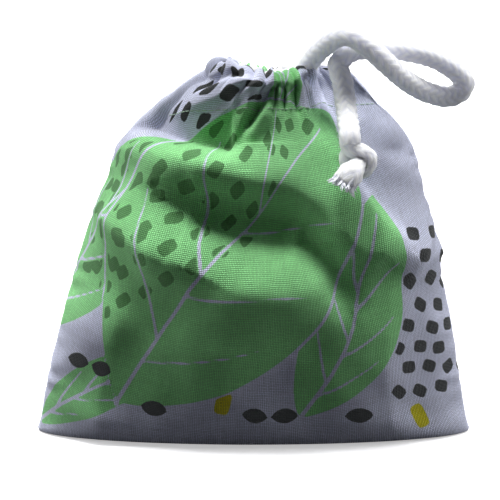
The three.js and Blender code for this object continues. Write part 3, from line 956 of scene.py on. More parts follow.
def finished_panel(side, pleats, folds, seed):
    """The form, moved in and out by its pleats, folds, slack and puckers. All but the puckers fade to
    nothing at the side seams, and all fade on the base."""
    points = soften(bare_panel(side), base_soft_passes, *base_soft_rows)
    outer = 1 - smooth(math.pi / 4, 3 * math.pi / 4, roll_angle)
    seam_share = smooth(0, seam_fade_share, 1 - np.abs(across))
    above_base = smooth(0, base_fade, points[..., 2]) * row_base
    fin = fin_share(points[..., 0], points[..., 2])
    soft = slack(points, seed) * above_base * outer
    for fold in folds:
        soft = soft + route_fold(points, **fold) * outer * above_base
    relief = (pleat_relief(pleats, points) + soft) * mix(1, fin_relief_share, fin) * seam_share
    relief = relief + seam_puckers(points) * above_base * outer
    points = points + outward(points, side) * relief[..., None]
    rim = np.interp(points[..., 0], *np.transpose(rim_heights[side]))
    points[..., 2] += rim * smooth(*rim_dip_heights, points[..., 2]) * seam_share
    points[..., 2] = np.maximum(points[..., 2], ground_clearance)
    groove = seam_groove_depth * hump((1 - np.abs(across)) * cloth_half_width, seam_groove_spread)
    points[..., 0] -= np.sign(across) * groove * smooth(0, seam_groove_starts_within, points[..., 2])
    return hem_against_cloth(points, side)


front_points = finished_panel(-1, front_pleats, front_folds, 3)
back_points = finished_panel(1, back_pleats, back_folds, 8)
print("front cloth", front_points.min((0, 1)), front_points.max((0, 1)))

# %% [markdown]
# ## The print
#
# The cotton is printed in large flat shapes: broad green leaves with pale veins on a lilac-grey
# ground, with patches of darker green, black seeds and a few yellow buds. Each colour is a height map
# over the flat cloth, positive inside its shapes, worked out here in metres and stored on the points.
# The material only has to cut each one at zero, which leaves a crisp printed edge.

# %% Shapes on the flat cloth
leaf_fullness = 0.8
veins_each_side = 3
vein_width = 0.00095
neck_widening = 0.9
neck_print_start = 0.1
neck_print_full = 0.118
rib_points = 9
rib_end_share = 0.93
rib_width_shares = (1.25, 0.6)
vein_points = 7
vein_width_shares = (0.9, 0.5)
first_vein_share = 0.12
vein_roots_share = 0.62
left_vein_lead_share = 0.35
vein_run_share = 0.24
vein_reach_share = 0.8
vein_bend_power = 0.85


def leaf_swell(along):
    """How wide a leaf is at a share of the way along it: (4a(1-a)) to the power of its fullness."""
    return np.clip(4 * along * (1 - along), 0, 1) ** leaf_fullness


def leaf_frame(s, h, base, tip, bow):
    """Place along a leaf from 0 at its base to 1 at its tip, and signed distance from its bowed midrib."""
    base, tip = np.array(base), np.array(tip)
    length = np.linalg.norm(tip - base)
    axis = (tip - base) / length
    along = ((s - base[0]) * axis[0] + (h - base[1]) * axis[1]) / length
    off = (s - base[0]) * -axis[1] + (h - base[1]) * axis[0]
    return along, off - bow * 4 * along * (1 - along)


def leaf(s, h, base, tip, width, bow=0):
    """Half the leaf's width less the distance from its midrib, and less than zero beyond its ends."""
    along, off = leaf_frame(s, h, base, tip, bow)
    outside = np.minimum(along, 1 - along)
    within = width / 2 * leaf_swell(along) - np.abs(off)
    return np.where(outside > 0, within, -np.hypot(outside * width, off))


def stroke(s, h, line, widths):
    """A pen stroke along a line of points: half its width less the distance from the line."""
    best = np.full(np.broadcast(s, h).shape, -1.0)
    line = np.asarray(line, float)
    for i, (start, end) in enumerate(zip(line[:-1], line[1:])):
        piece = end - start
        t = np.clip(((s - start[0]) * piece[0] + (h - start[1]) * piece[1]) / (piece @ piece), 0, 1)
        distance = np.hypot(s - start[0] - t * piece[0], h - start[1] - t * piece[1])
        width = np.interp((i + t) / (len(line) - 1), (0, 1), widths)
        best = np.maximum(best, width / 2 - distance)
    return best


def veins(s, h, base, tip, width, bow=0):
    """Pale strokes: the midrib, and side veins that leave it forwards and bend towards the tip. Each
    ends at four fifths of the way to the leaf's edge."""
    base, tip = np.array(base), np.array(tip)
    reach = tip - base
    square = np.array([-reach[1], reach[0]]) / np.linalg.norm(reach)
    share = np.linspace(0, rib_end_share, rib_points)
    rib = base + reach * share[:, None] + square * (bow * 4 * share * (1 - share))[:, None]
    lines = stroke(s, h, rib, [share * vein_width for share in rib_width_shares])
    for number in range(veins_each_side):
        for side in (-1, 1):
            step = number + left_vein_lead_share * (side > 0)
            root = first_vein_share + (vein_roots_share * step) / veins_each_side
            way = np.linspace(0, 1, vein_points)
            place = root + vein_run_share * way
            edge = vein_reach_share * width / 2 * leaf_swell(root + vein_run_share)
            off = bow * 4 * place * (1 - place) + side * edge * way ** vein_bend_power
            line = base + reach * place[:, None] + square * off[:, None]
            widths = [share * vein_width for share in vein_width_shares]
            lines = np.maximum(lines, stroke(s, h, line, widths))
    return lines


def blobs(s, h, centres, long_radius, short_radius, turns):
    """Rounded patches: the radius less a length made of fourth powers, which squares an oval off. They
    are drawn wider in the neck, where the gathers close them up."""
    best = np.full(np.broadcast(s, h).shape, -1.0)
    widening = 1 + neck_widening * smooth(neck_print_start, neck_print_full, h)
    for (x, y), turn in zip(centres, turns):
        from_x = (s - x) / widening
        a = from_x * math.cos(turn) + (h - y) * math.sin(turn)
        b = (h - y) * math.cos(turn) - from_x * math.sin(turn)
        size = ((a / long_radius) ** 4 + (b / short_radius) ** 4) ** 0.25
        best = np.maximum(best, (1 - size) * short_radius)
    return best


row_widening_share = 0.05
row_bow_share = 0.02
place_wobble = 0.0007
turn_wobble = 0.4
fan_turn = 0.9


def drift(centre, counts, steps, lean, seed):
    """Rows of places that fan out from a centre, each moved a little at random, and how each is turned."""
    draw = np.random.default_rng(seed)
    places, turns = [], []
    for i in range(counts[0]):
        for j in range(counts[1] + i % 2):
            x = (j - counts[1] / 2 + (i % 2) / 2) * steps[0] * (1 + row_widening_share * i)
            y = i * steps[1] - row_bow_share * abs(x)
            wobble = draw.uniform(-place_wobble, place_wobble, 2)
            places.append((centre[0] + x * math.cos(lean) - y * math.sin(lean) + wobble[0],
                           centre[1] + x * math.sin(lean) + y * math.cos(lean) + wobble[1]))
            turn = lean + draw.uniform(-turn_wobble, turn_wobble)
            turns.append(turn + fan_turn * x / (counts[1] * steps[0]))
    return places, turns


# %% The two panels' layouts
pale_edge = 0.0009
front_leaves = [
    ((-0.036, 0.03), (0.03, 0.104), 0.068, 0.009),
    ((-0.067, 0.046), (-0.0275, 0.099), 0.035, 0.004),
    ((0.012, 0.026), (0.036, 0.084), 0.026, -0.004),
    ((-0.061, 0.02), (-0.02, 0.044), 0.015, 0.002),
    ((0.002, 0.094), (0.02, 0.134), 0.024, 0.002),
]
back_leaves = [
    ((0.03, 0.024), (-0.034, 0.094), 0.06, -0.009),
    ((0.061, 0.046), (0.0305, 0.108), 0.031, -0.004),
    ((-0.046, 0.028), (-0.05, 0.07), 0.02, 0.003),
    ((-0.004, 0.092), (-0.026, 0.13), 0.026, -0.003),
]
front_dashes = [
    ((-0.022, 0.066), (7, 7), (0.0072, 0.0066), 0.5, 21),
    ((-0.042, 0.066), (5, 2), (0.0068, 0.0068), 0.1, 22),
    ((0.008, 0.096), (2, 2), (0.0066, 0.0066), -0.1, 29),
]
back_dashes = [
    ((0.008, 0.058), (7, 6), (0.0074, 0.0068), -0.5, 23),
    ((0.0505, 0.06), (6, 2), (0.0068, 0.007), -0.1, 24),
]
front_seeds = [
    ((0.0483, 0.032), (8, 3), (0.0062, 0.0058), -0.12, 25),
    ((-0.027, 0.105), (4, 4), (0.0105, 0.0058), -0.15, 26),
    ((0.031, 0.118), (2, 1), (0.0086, 0.006), -0.4, 30),
]
back_seeds = [
    ((-0.028, 0.024), (4, 5), (0.0062, 0.0058), 0.2, 27),
    ((0.012, 0.11), (4, 6), (0.0074, 0.0058), 0.25, 28),
]
front_pods = [
    ((-0.052, 0.0405), (-0.0455, 0.0395)), ((-0.0445, 0.0395), (-0.039, 0.0375)),
    ((-0.0295, 0.029), (-0.0225, 0.0275)), ((-0.003, 0.0275), (0.0035, 0.0265)),
    ((0.0045, 0.0265), (0.0115, 0.0268)), ((0.0235, 0.0265), (0.031, 0.0268)),
]
back_pods = [
    ((0.052, 0.032), (0.045, 0.031)), ((0.044, 0.031), (0.038, 0.029)),
    ((0.005, 0.026), (-0.003, 0.0265)), ((-0.046, 0.088), (-0.053, 0.0885)),
]
front_buds = [(-0.0135, 0.034), (-0.008, 0.0305), (0.044, 0.0245)]
back_buds = [(0.038, 0.036), (0.0335, 0.0325), (-0.012, 0.1)]
dash_radii = (0.0021, 0.0016)
seed_radii = (0.0021, 0.0017)
pod_width = 0.0042
bud_radii = (0.0034, 0.002)
first_bud_turn = 0.9
next_bud_turn = 0.5
dash_margin = 0.001
vein_margin = 0.0003
seed_margin = 0.0006


def strewn(s, h, groups, radii):
    """The patches of several groups of drifting places."""
    drifts = [drift(*group) for group in groups]
    return np.maximum.reduce([blobs(s, h, places, *radii, turns) for places, turns in drifts])


def print_maps(s, h, leaves, dashes, seeds, pods, buds):
    """Height maps of the green, the dark green, the black and the yellow, each positive inside."""
    green = leaf(s, h, *leaves[0])
    lines = veins(s, h, *leaves[0])
    for shape in leaves[1:]:
        under = -green - pale_edge
        lines = np.maximum(lines, np.minimum(veins(s, h, *shape), under))
        green = np.maximum(green, np.minimum(leaf(s, h, *shape), under))
    whole = green
    green = np.minimum(green, -lines)
    dark = np.minimum(whole - dash_margin, -lines - vein_margin)
    dark = np.minimum(strewn(s, h, dashes, dash_radii), dark)
    black = np.minimum(strewn(s, h, seeds, seed_radii), -whole - seed_margin)
    black = np.maximum.reduce([black] + [leaf(s, h, base, tip, pod_width) for base, tip in pods])
    bud_turns = [first_bud_turn + next_bud_turn * k for k in range(len(buds))]
    yellow = blobs(s, h, buds, *bud_radii, bud_turns)
    yellow = np.minimum(yellow, -np.maximum(black, green) - seed_margin)
    return {"green": green, "dark_green": dark, "black": black, "yellow": yellow}


def flat_place(points):
    """Where each point lies on the flat cloth: the way across it on its widest row, from the middle,
    and the way along it at the panel's middle."""
    way = way_along(points[:, columns // 2])
    row_lengths = np.linalg.norm(np.diff(points, axis=1), axis=2).sum(axis=1)
    widest = way_along(points[np.argmax(row_lengths)])
    s = (widest - widest[columns // 2])[None, :] + 0 * way[:, None]
    return s, way[:, None] + 0 * s


def thread_place(points):
    """How far along its own column each point lies, so that the threads keep their pitch on the slopes."""
    steps = np.linalg.norm(np.diff(points, axis=0), axis=2)
    return np.vstack([np.zeros((1, points.shape[1])), np.cumsum(steps, axis=0)])


def panel_object(name, points, side, layout):
    """A panel's printed cloth, and the width and height that it is cut to."""
    bare = bare_panel(side)
    s, h = flat_place(bare)
    uv = np.stack([s, thread_place(bare)], axis=-1)
    piece = sheet_object(name, points, uv, flip=side > 0, values=print_maps(s, h, *layout))
    cut_size = float(np.ptp(s)), float(np.ptp(h))
    print(name, "cut", np.round(cut_size, 4))
    return piece, cut_size


front_layout = (front_leaves, front_dashes, front_seeds, front_pods, front_buds)
back_layout = (back_leaves, back_dashes, back_seeds, back_pods, back_buds)
front_cloth, cloth_cut = panel_object("front_cloth", front_points, -1, front_layout)
back_cloth, _ = panel_object("back_cloth", back_points, 1, back_layout)

# %% [markdown]
# ## The pleats at the sides of the neck
#
# The two panels are sewn together right up to the casings, so when the mouth opens, a pleat of cloth
# unfolds at each side. It starts as a narrow inward fold between the panels' edges.

# %% Side pleats between the panels
pleat_columns = 9
pleat_inset = 0.0011
pleat_flat_start = 0.09
pleat_flat_length = 0.05
print_colours = ("green", "dark_green", "black", "yellow")


def side_pleat(name, edge, partner, toward, flip):
    """From a panel's edge to the middle plane: y falls evenly to zero, while x draws in by the inset
    times the square of the share of the way."""
    share = np.linspace(0, 1, pleat_columns)[None, :, None]
    middle = (edge + partner) / 2
    middle[:, 1] = 0
    opened = np.abs(edge[:, 1]) / side_pleat_half_width
    middle[:, 0] -= toward * pleat_inset * np.clip(opened, 0, 1)
    points = mix(edge[:, None], middle[:, None], share)
    points[..., 0] = mix(edge[:, None, 0], middle[:, None, 0], share[..., 0] ** 2)
    s = np.linspace(0, side_pleat_half_width, pleat_columns)[None, :] + cloth_half_width + 0 * edge[:, :1]
    h = np.linspace(0, pleat_flat_length, len(edge))[:, None] + pleat_flat_start + 0 * s
    unprinted = {key: np.full(points.shape[:2], -1) for key in print_colours}
    return sheet_object(name, points, np.stack([s, h], axis=-1), flip=flip, values=unprinted)


pleat_first = int(np.argmax(row_height[:, 0] > side_pleat_start)) - 1
pleat_last = roll_end - 3
side_pleats = {}
for column, word, toward in ((0, "left", -1), (-1, "right", 1)):
    panels = ((-1, front_points), (1, back_points))
    edges = {side: points[pleat_first:pleat_last, column] for side, points in panels}
    for side, panel in ((-1, "front"), (1, "back")):
        name = word + "_" + panel + "_side_pleat"
        side_pleats[word, panel] = side_pleat(name, edges[side], edges[-side], toward, toward * side > 0)
print("side pleats", sorted(p.name for p in side_pleats.values()))

# %% [markdown]
# ## Seam allowances and stitches
#
# Inside the bag, the cloth beyond each seam is pressed to one side as a flap 6 mm wide. Where the hem
# is sewn down, a row of thread stitches runs round the neck: each stitch is a short arch whose two
# ends go into the cloth.

# %% Seam allowances
allowance_width = 0.006
allowance_inset = 0.0021
allowance_low = 0.005
allowance_high = 0.058
allowance_rows = 60
allowance_columns = 10
allowance_wave = 0.00025
allowance_wave_rate = 700
base_allowance_half_length = 0.045
base_allowance_rows = 90
base_allowance_start = 0.0004
base_allowance_height = 0.0019
base_allowance_wave = 0.0002
base_allowance_wave_rate = 500


def side_allowance(name, toward):
    """A flap that follows the side seam: its outer edge lies just inside the outline, and it waves a
    little across its thickness."""
    height = np.linspace(allowance_low, allowance_high, allowance_rows)[:, None]
    middle, half, _, _ = section(height)
    share = np.linspace(0, 1, allowance_columns)[None, :]
    x = middle + toward * (half - allowance_inset - allowance_width * share)
    y = allowance_wave * np.sin(height * allowance_wave_rate) * share
    points = np.stack([x, y + 0 * x, height + 0 * x], axis=-1)
    uv = np.stack([share * allowance_width + 0 * height, height + 0 * share], axis=-1)
    return sheet_object(name, points, uv, flip=toward > 0)


def bottom_allowance(name):
    """The flap of the bottom seam, flat on the inside of the base towards the back."""
    reach = base_allowance_half_length
    x = np.linspace(-reach, reach, base_allowance_rows)[:, None]
    share = np.linspace(0, 1, allowance_columns)[None, :]
    y = base_allowance_start + allowance_width * share
    z = base_allowance_height + base_allowance_wave * np.sin(x * base_allowance_wave_rate) * share
    points = np.stack([x + 0 * y, y + 0 * x, z + 0 * y], axis=-1)
    uv = np.stack([share * allowance_width + 0 * x, x + 0 * share], axis=-1)
    return sheet_object(name, points, uv, flip=True)


left_allowance = side_allowance("left_seam_allowance", -1)
right_allowance = side_allowance("right_seam_allowance", 1)
base_allowance = bottom_allowance("bottom_seam_allowance")
print("allowances", allowance_width, "wide")

# %% Stitches along the hem
stitch_step = 0.0026
stitch_share = 0.8
stitch_margins = (0.004, 0.006)
stitch_rings = 7
stitch_arch_share = 1.5
stitch_sink_share = 0.9
thread_width = 0.00026


def hem_stitches(name, points, side):
    """Stitches at even steps of flat cloth along the height where the hem is sewn. A stitch's line is
    read from the cloth's own points and stands off it by the sine of the way along the stitch."""
    row = int(np.argmin(np.abs(row_height[:body_end, 0] - stitch_height)))
    line, facing = points[row], outward(points, side)[row]
    flat = across[0] * cloth_half_width
    starts = np.arange(flat[0] + stitch_margins[0], flat[-1] - stitch_margins[1], stitch_step)
    way = np.linspace(0, 1, stitch_rings)
    places = starts[:, None] + way * stitch_step * stitch_share
    arch = np.sin(math.pi * way) * stitch_arch_share - stitch_sink_share
    lift = arch[None, :, None] * thread_width / 2
    radius = np.full(places.shape, thread_width / 2)
    print(name, len(starts), "stitches")
    stitched = read_off(places, flat, line) + read_off(places, flat, facing) * lift
    return thin_tubes_object(name, stitched, radius)


front_stitches = hem_stitches("front_hem_stitches", front_points, -1)
back_stitches = hem_stitches("back_hem_stitches", back_points, 1)


# %% Give the cloth its thickness
def thicken(piece, thickness, inner_material=0):
    """Solidify inwards, so that the outside stays where it was made. The inner side can have the
    piece's second material."""
    solid = piece.modifiers.new("thickness", "SOLIDIFY")
    solid.thickness = thickness
    solid.offset = -1
    solid.material_offset = inner_material
    return piece


for piece in (front_cloth, back_cloth, *side_pleats.values()):
    thicken(piece, cloth_thickness, 1)
for piece in (left_allowance, right_allowance, base_allowance):
    thicken(piece, 2 * cloth_thickness)

# %% [markdown]
# ## Materials
#
# A material here is a small program of nodes. The cloth's own UV map counts metres on the flat cloth,
# so dividing it by the distance between two threads numbers the threads. From those numbers come the
# weave's relief, painted shade in the thin gaps between threads and the slight unevenness from thread to
# thread.

# %% Short names for nodes
class Nodes:
    """A material's or a world's node tree, with short calls for the nodes that are used most."""

    def __init__(self, owner):
        owner.use_nodes = True
        self.owner = owner
        self.tree = owner.node_tree
        self.shader = self.tree.nodes.get("Principled BSDF")

    def add(self, kind, **settings):
        node = self.tree.nodes.new("ShaderNode" + kind)
        for key, value in settings.items():
            setattr(node, key, value)
        return node

    def feed(self, socket, value):
        if isinstance(value, bpy.types.NodeSocket):
            self.tree.links.new(value, socket)
        else:
            socket.default_value = value

    def look(self, **values):
        """Sets the shader's own values. An underscore in a name stands for a space."""
        for key, value in values.items():
            self.shader.inputs[key.replace("_", " ")].default_value = value

    def uv(self):
        return self.add("UVMap", uv_map="lay").outputs[0]

    def place(self):
        return self.add("TexCoord").outputs["Object"]

    def parts(self, vector):
        node = self.add("SeparateXYZ")
        self.feed(node.inputs[0], vector)
        return node.outputs

    def sum(self, operation, *values):
        node = self.add("Math", operation=operation)
        for socket, value in zip(node.inputs, values):
            self.feed(socket, value)
        return node.outputs[0]

    def blend(self, share, first, second):
        node = self.add("Mix", data_type="RGBA")
        for index, value in ((0, share), (6, first), (7, second)):
            self.feed(node.inputs[index], value)
        return node.outputs[2]

    def mixed(self, share, first, second):
        node = self.add("Mix", data_type="FLOAT")
        for index, value in ((0, share), (2, first), (3, second)):
            self.feed(node.inputs[index], value)
        return node.outputs[0]

    def scaled(self, colour, amount):
        node = self.add("VectorMath", operation="SCALE")
        self.feed(node.inputs[0], colour)
        self.feed(node.inputs["Scale"], amount)
        return node.outputs[0]

    def either(self, share, first, second):
        """The first shader where the share is 0, and the second where it is 1."""
        node = self.add("MixShader")
        for socket, value in zip(node.inputs, (share, first, second)):
            self.feed(socket, value)
        return node.outputs[0]

    def seen(self):
        """1 for what the camera sees straight, in gloss or through glass, and 0 for what gives light."""
        rays = self.add("LightPath").outputs
        straight = self.sum("MAXIMUM", rays["Is Camera Ray"], rays["Is Glossy Ray"])
        return self.sum("MAXIMUM", straight, rays["Is Transmission Ray"])

    def noise(self, vector, scale, detail=2):
        node = self.add("TexNoise")
        self.feed(node.inputs["Vector"], vector)
        self.feed(node.inputs["Scale"], scale)
        self.feed(node.inputs["Detail"], detail)
        return node.outputs["Fac"]

    def vector(self, x, y, z=0):
        node = self.add("CombineXYZ")
        for socket, value in zip(node.inputs, (x, y, z)):
            self.feed(socket, value)
        return node.outputs[0]

    def finish(self, colour, height, distance, strength=1):
        """Links the colour and turns the height into a bump of the given distance."""
        bump = self.add("Bump")
        self.feed(bump.inputs["Height"], height)
        self.feed(bump.inputs["Distance"], distance)
        self.feed(bump.inputs["Strength"], strength)
        self.feed(self.shader.inputs["Normal"], bump.outputs[0])
        self.feed(self.shader.inputs["Base Color"], colour)
        return self.owner


def material_nodes(name):
    return Nodes(bpy.data.materials.new(name))


def colour_of(red, green, blue):
    """An everyday 0 to 255 colour as the linear value that a shader takes."""
    parts = [c / 255 for c in (red, green, blue)]
    return [c / 12.92 if c <= 0.04045 else ((c + 0.055) / 1.055) ** 2.4 for c in parts] + [1]


# %% Printed cotton
thread_pitch = 0.00046
print_edge = 0.00012
ground_colour = colour_of(206, 210, 232)
green_colour = colour_of(136, 208, 136)
dark_green_colour = colour_of(80, 134, 78)
black_colour = colour_of(22, 26, 28)
yellow_colour = colour_of(196, 188, 20)
weave_depth = 0.0002
thread_wander_scale = 260
thread_wander = 1.1
tone_scale = 1.7
tone_run_share = 0.05
weft_tone_place = 7
edge_wander_scale = 1500
relief_light_share = 0.95
tone_light_share = 0.66
least_light_share = 0.13


def weave(nodes):
    """The relief of plain weave and a tone for each thread. Whole parts of the UV number the threads;
    where they add up to an even number the warp lies on top, and a thread's height is a sine across it
    times part of a sine along it."""
    uv = nodes.uv()
    parts = nodes.parts(uv)
    noise = nodes.sum("SUBTRACT", nodes.noise(uv, thread_wander_scale, 1), 1 / 2)
    wobble = nodes.sum("MULTIPLY", noise, thread_wander)
    u, v = (nodes.sum("ADD", nodes.sum("DIVIDE", part, thread_pitch), wobble) for part in parts[:2])
    crowns = [nodes.sum("SINE", nodes.sum("MULTIPLY", nodes.sum("FRACT", n), math.pi)) for n in (u, v)]
    halves = [nodes.sum("MULTIPLY_ADD", crown, 1 / 2, 1 / 2) for crown in crowns]
    warp, weft = (nodes.sum("MULTIPLY", crowns[k], halves[1 - k]) for k in range(2))
    thread_u, thread_v = nodes.sum("FLOOR", u), nodes.sum("FLOOR", v)
    warp_on_top = nodes.sum("PINGPONG", nodes.sum("ADD", thread_u, thread_v), 1)
    relief = nodes.mixed(warp_on_top, weft, warp)
    along_warp, along_weft = (nodes.sum("MULTIPLY", n, tone_run_share) for n in (v, u))
    warp_tone = nodes.noise(nodes.vector(thread_u, along_warp), tone_scale)
    weft_tone = nodes.noise(nodes.vector(along_weft, thread_v, weft_tone_place), tone_scale)
    tone = nodes.mixed(warp_on_top, weft_tone, warp_tone)
    return uv, relief, tone


def printed_cotton():
    """Each printed colour covers the last where its height map is above zero, with an edge that wanders
    a little. The shade of the relief and the tone of the thread multiply the colour."""
    nodes = material_nodes("printed cotton")
    uv, relief, tone = weave(nodes)
    colour = ground_colour
    noise = nodes.sum("SUBTRACT", nodes.noise(uv, edge_wander_scale, 1), 1 / 2)
    wander = nodes.sum("MULTIPLY", noise, 2 * print_edge)
    inks = (green_colour, dark_green_colour, black_colour, yellow_colour)
    for key, ink in zip(print_colours, inks):
        height = nodes.sum("ADD", nodes.add("Attribute", attribute_name=key).outputs["Fac"], wander)
        edge = nodes.add("MapRange", interpolation_type="SMOOTHSTEP")
        for index, value in ((0, height), (1, -print_edge), (2, print_edge), (3, 0), (4, 1)):
            nodes.feed(edge.inputs[index], value)
        colour = nodes.blend(edge.outputs[0], colour, ink)
    relief_light = nodes.sum("MULTIPLY", relief, relief_light_share)
    tone_light = nodes.sum("MULTIPLY", tone, tone_light_share)
    shade = nodes.sum("ADD", nodes.sum("ADD", relief_light, tone_light), least_light_share)
    nodes.look(Roughness=0.88, Specular_IOR_Level=0.25, Sheen_Weight=0.12, Sheen_Roughness=0.5)
    return nodes.finish(nodes.scaled(colour, shade), relief, weave_depth, 0.9)


# %% Plain cotton for the allowances and the inside, and thread
plain_weave_depth = 0.00014
twist_depth = 0.00006
twist_scale = 5200
plain_relief_shade_share = 0.3
plain_tone_share = 0.4
plain_least_share = 0.5
thread_colours = (colour_of(138, 166, 144), colour_of(186, 206, 192))


def plain_cotton():
    nodes = material_nodes("plain side of the cotton")
    _, relief, tone = weave(nodes)
    tone_light = nodes.sum("MULTIPLY_ADD", tone, plain_tone_share, plain_least_share)
    # The weave's relief is painted into the colour as shade in the gaps between threads, over the threads'
    # own tone.
    shade = nodes.sum("ADD", nodes.sum("MULTIPLY", relief, plain_relief_shade_share), tone_light)
    nodes.look(Roughness=0.92)
    return nodes.finish(nodes.scaled(ground_colour[:3], shade), relief, plain_weave_depth, 0.8)


def sewing_thread():
    nodes = material_nodes("sewing thread")
    twist = nodes.noise(nodes.place(), twist_scale, 1)
    nodes.look(Roughness=0.7)
    return nodes.finish(nodes.blend(twist, *thread_colours), twist, twist_depth, 0.8)


# %% White braided cotton
yarns_in_a_strand = 4
yarn_height_share = 0.22
fibre_height_share = 1.3
fibre_light_share = 0.7
crown_light_share = 0.45
fibres_across = 9
fibre_scale = 2.6
patch_scale = 420
patch_share = 0.25
yarn_depth = 0.00013
loose_yarn_depth = 0.00005
loose_yarn_scale = 6000
cord_glow_reach = (0.004, 0.004, 0.0044)
cord_colours = (colour_of(216, 219, 238), colour_of(252, 252, 255))
cord_patch_colour = colour_of(236, 237, 252)
loose_yarn_colours = (colour_of(206, 210, 222), colour_of(246, 247, 252))


def cord_cotton():
    """The UV's x goes round the cord and its y counts cells along it. The same p and q as in the relief
    say which family is on top, and so which way its yarns and fibres are streaked."""
    nodes = material_nodes("white braided cotton")
    around, cells, _ = nodes.parts(nodes.uv())
    turns = nodes.sum("MULTIPLY", around, strands_each_way)
    p = nodes.sum("ADD", turns, cells)
    q = nodes.sum("SUBTRACT", turns, cells)
    count = nodes.sum("ADD", nodes.sum("FLOOR", p), nodes.sum("FLOOR", q))
    second_on_top = nodes.sum("GREATER_THAN", nodes.sum("FLOORED_MODULO", count, 4), 1.5)
    across_strand = nodes.mixed(second_on_top, p, q)
    along_strand = nodes.mixed(second_on_top, q, p)
    yarn = nodes.sum("SINE", nodes.sum("MULTIPLY", across_strand, 2 * math.pi * yarns_in_a_strand))
    fibre_place = nodes.vector(nodes.sum("MULTIPLY", across_strand, fibres_across), along_strand)
    fibres = nodes.noise(fibre_place, fibre_scale, 4)
    patches = nodes.noise(nodes.place(), patch_scale, 3)
    crown = nodes.sum("SINE", nodes.sum("MULTIPLY", nodes.sum("FRACT", across_strand), math.pi))
    yarn_height = nodes.sum("MULTIPLY", yarn, yarn_height_share)
    height = nodes.sum("ADD", yarn_height, nodes.sum("MULTIPLY", fibres, fibre_height_share))
    # The crown of each strand is painted lighter, a painted highlight on its top; the fibre noise adds the
    # yarns' own random tone.
    crown_light = nodes.sum("MULTIPLY", crown, crown_light_share)
    light = nodes.sum("ADD", crown_light, nodes.sum("MULTIPLY", fibres, fibre_light_share))
    colour = nodes.blend(light, *cord_colours)
    colour = nodes.blend(nodes.sum("MULTIPLY", patches, patch_share), colour, cord_patch_colour)
    nodes.look(Roughness=0.8, Specular_IOR_Level=0.3, Sheen_Weight=0.7)
    nodes.look(Subsurface_Weight=0.9, Subsurface_Radius=cord_glow_reach, Subsurface_Scale=1)
    return nodes.finish(colour, height, yarn_depth, 0.9)


def loose_yarn():
    nodes = material_nodes("loose cotton yarn")
    fibres = nodes.noise(nodes.place(), loose_yarn_scale)
    nodes.look(Roughness=0.85, Sheen_Weight=0.2)
    return nodes.finish(nodes.blend(fibres, *loose_yarn_colours), fibres, loose_yarn_depth, 0.7)


finishes = [
    ("printed_cotton", printed_cotton(), [front_cloth, back_cloth, *side_pleats.values()]),
    ("seam_cotton", plain_cotton(), [left_allowance, right_allowance, base_allowance]),
    ("braided_cord", cord_cotton(), [drawstring, hanging_end, rear_string, front_run, back_run, left_turn]),
    ("braided_cord", loose_yarn(), [front_fray, rear_fray, front_fluff, tail_fluff, rear_fluff]),
    ("seam_cotton", sewing_thread(), [front_stitches, back_stitches]),
]
for slot, material, pieces in finishes:
    for piece in pieces:
        piece.data.materials.append(material)
reverse_side = finishes[1][1]
for piece in finishes[0][2]:
    piece.data.materials.append(reverse_side)
print("finishes", [material.name for _, material, _ in finishes])

# %% [markdown]
# ## What each piece moves with
#
# The cloth crosses the line where the lips lean apart. Here the cloth and its stitches, the side pleats,
# the loop, the hanging ends and their fluff are baked where they lie. The cord in each casing rides with
# its own run, the turn at the left and the seam allowances ride with the bag, and each frayed tip rides
# with its tail. The CAD parts that these pieces stand for are hidden.

# %% Bake, ride and replace
for panel, piece, stitches in (
    ("front", front_cloth, front_stitches), ("back", back_cloth, back_stitches),
):
    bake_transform(piece)
    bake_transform(stitches)
    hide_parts(panel + "_panel", panel + "_shoulder_fold", panel + "_neck")
for (word, panel), piece in side_pleats.items():
    side = -1 if panel == "front" else 1
    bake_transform(piece)

for piece in (drawstring, front_fluff):
    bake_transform(piece)
for piece in (hanging_end, tail_fluff):
    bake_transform(piece)
for piece in (rear_string, rear_fluff):
    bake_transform(piece)
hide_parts("pull_loop")
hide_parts("front_end", "front_knot")
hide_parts("rear_end", "rear_knot")

carried = [
    (front_run, "front_cord", "front_run"), (back_run, "back_cord", "back_run"),
    (left_turn, "root", "cord_turn"), (base_allowance, "root", "bottom_seam"),
    (left_allowance, "root", "left_side_seam"), (right_allowance, "root", "right_side_seam"),
]
for piece, body, node in carried:
    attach(piece, body)
    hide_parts(node)
for piece, body in ((front_fray, "front_tail"), (rear_fray, "rear_tail")):
    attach(piece, body)

# %% [markdown]
# ## The cords' lengths
#
# A cord is bought by length and a cloth is cut flat. Here the length of each stretch of cord is worked
# out, with the front cord in two stretches, which meet where the hanging end swings.

# %% The length of each stretch of cord
path_length(loop_path)
path_length(hanging_path)
path_length(rear_path)

# %% [markdown]
# ## The floor, the light and the sky
#
# A wide, even lamp far above and a little in front lights the top of every fold and leaves the parts
# that face down in shade. Weaker ones from both sides round the pouch, and one behind it shines into
# the cord. The floor looks white to the camera but gives back little light, so that the underside of
# the belly stays dark, and a faint sky fills the shadows.

# %% Floor
floor_half_width = 3
floor_grey = (44, 44, 46)
floor_white = (236, 236, 238)
floor_glow = 0.45


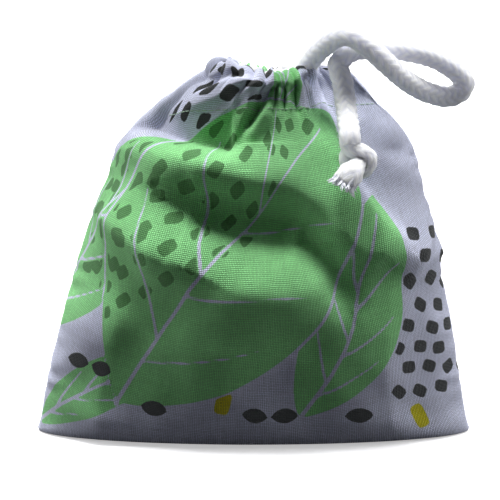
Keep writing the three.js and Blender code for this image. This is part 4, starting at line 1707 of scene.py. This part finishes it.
def floor_object():
    """A square that looks white where it is seen, still with the shadow on it, and is dark grey to the
    light that falls on it and back on the pouch."""
    reach = floor_half_width
    corners = np.array([(-reach, -reach, 0), (reach, -reach, 0), (reach, reach, 0), (-reach, reach, 0)])
    floor = mesh_object("floor", corners, [np.array([[0, 1, 2, 3]])])
    nodes = material_nodes("floor")
    nodes.feed(nodes.shader.inputs["Base Color"], colour_of(*floor_grey))
    nodes.look(Roughness=0.9)
    bright = nodes.add("BsdfDiffuse")
    nodes.feed(bright.inputs[0], colour_of(*floor_white))
    glow = nodes.add("Emission")
    nodes.feed(glow.inputs[0], colour_of(255, 255, 255))
    nodes.feed(glow.inputs[1], floor_glow)
    both = nodes.add("AddShader")
    nodes.feed(both.inputs[0], bright.outputs[0])
    nodes.feed(both.inputs[1], glow.outputs[0])
    choice = nodes.either(nodes.seen(), nodes.shader.outputs[0], both.outputs[0])
    nodes.feed(nodes.tree.nodes["Material Output"].inputs["Surface"], choice)
    floor.data.materials.append(nodes.owner)
    return floor


# %% Sky and lamps
sky_strength = 0.03
sky_colour = (226, 232, 246)


def sky():
    """Grey for light, white to the camera, to gloss and through glass."""
    nodes = Nodes(bpy.data.worlds.new("sky"))
    dim = nodes.tree.nodes["Background"]
    nodes.feed(dim.inputs[0], colour_of(*sky_colour))
    nodes.feed(dim.inputs[1], sky_strength)
    white = nodes.add("Background")
    nodes.feed(white.inputs[0], colour_of(255, 255, 255))
    choice = nodes.either(nodes.seen(), dim.outputs[0], white.outputs[0])
    nodes.feed(nodes.tree.nodes["World Output"].inputs["Surface"], choice)
    scene.world = nodes.owner


def sun_lamp(name, towards, width, strength):
    """A lamp so far away that it lights the whole floor alike. Its width is the angle that it fills."""
    data = bpy.data.lights.new(name, "SUN")
    data.angle = math.radians(width)
    data.energy = strength
    lamp = bpy.data.objects.new(name, data)
    aim = -np.array(towards)
    tilt = math.acos(-aim[2] / np.linalg.norm(aim))
    lamp.rotation_euler = (tilt, 0, math.atan2(aim[1], aim[0]) - math.pi / 2)
    scene.collection.objects.link(lamp)
    return lamp


lamps = [
    ("top lamp", (-0.07, -0.035, 0.95), 20, 4.5), ("left lamp", (-0.9, 0.1, 0.42), 30, 1.7),
    ("right lamp", (0.9, 0.03, 0.5), 30, 2.2), ("back lamp", (0.1, 0.8, 0.5), 30, 2.1),
]
floor_object()
sky()
for lamp in lamps:
    sun_lamp(*lamp)
scene.view_settings.view_transform = "Standard"
print("lamps", [name for name, *_ in lamps])
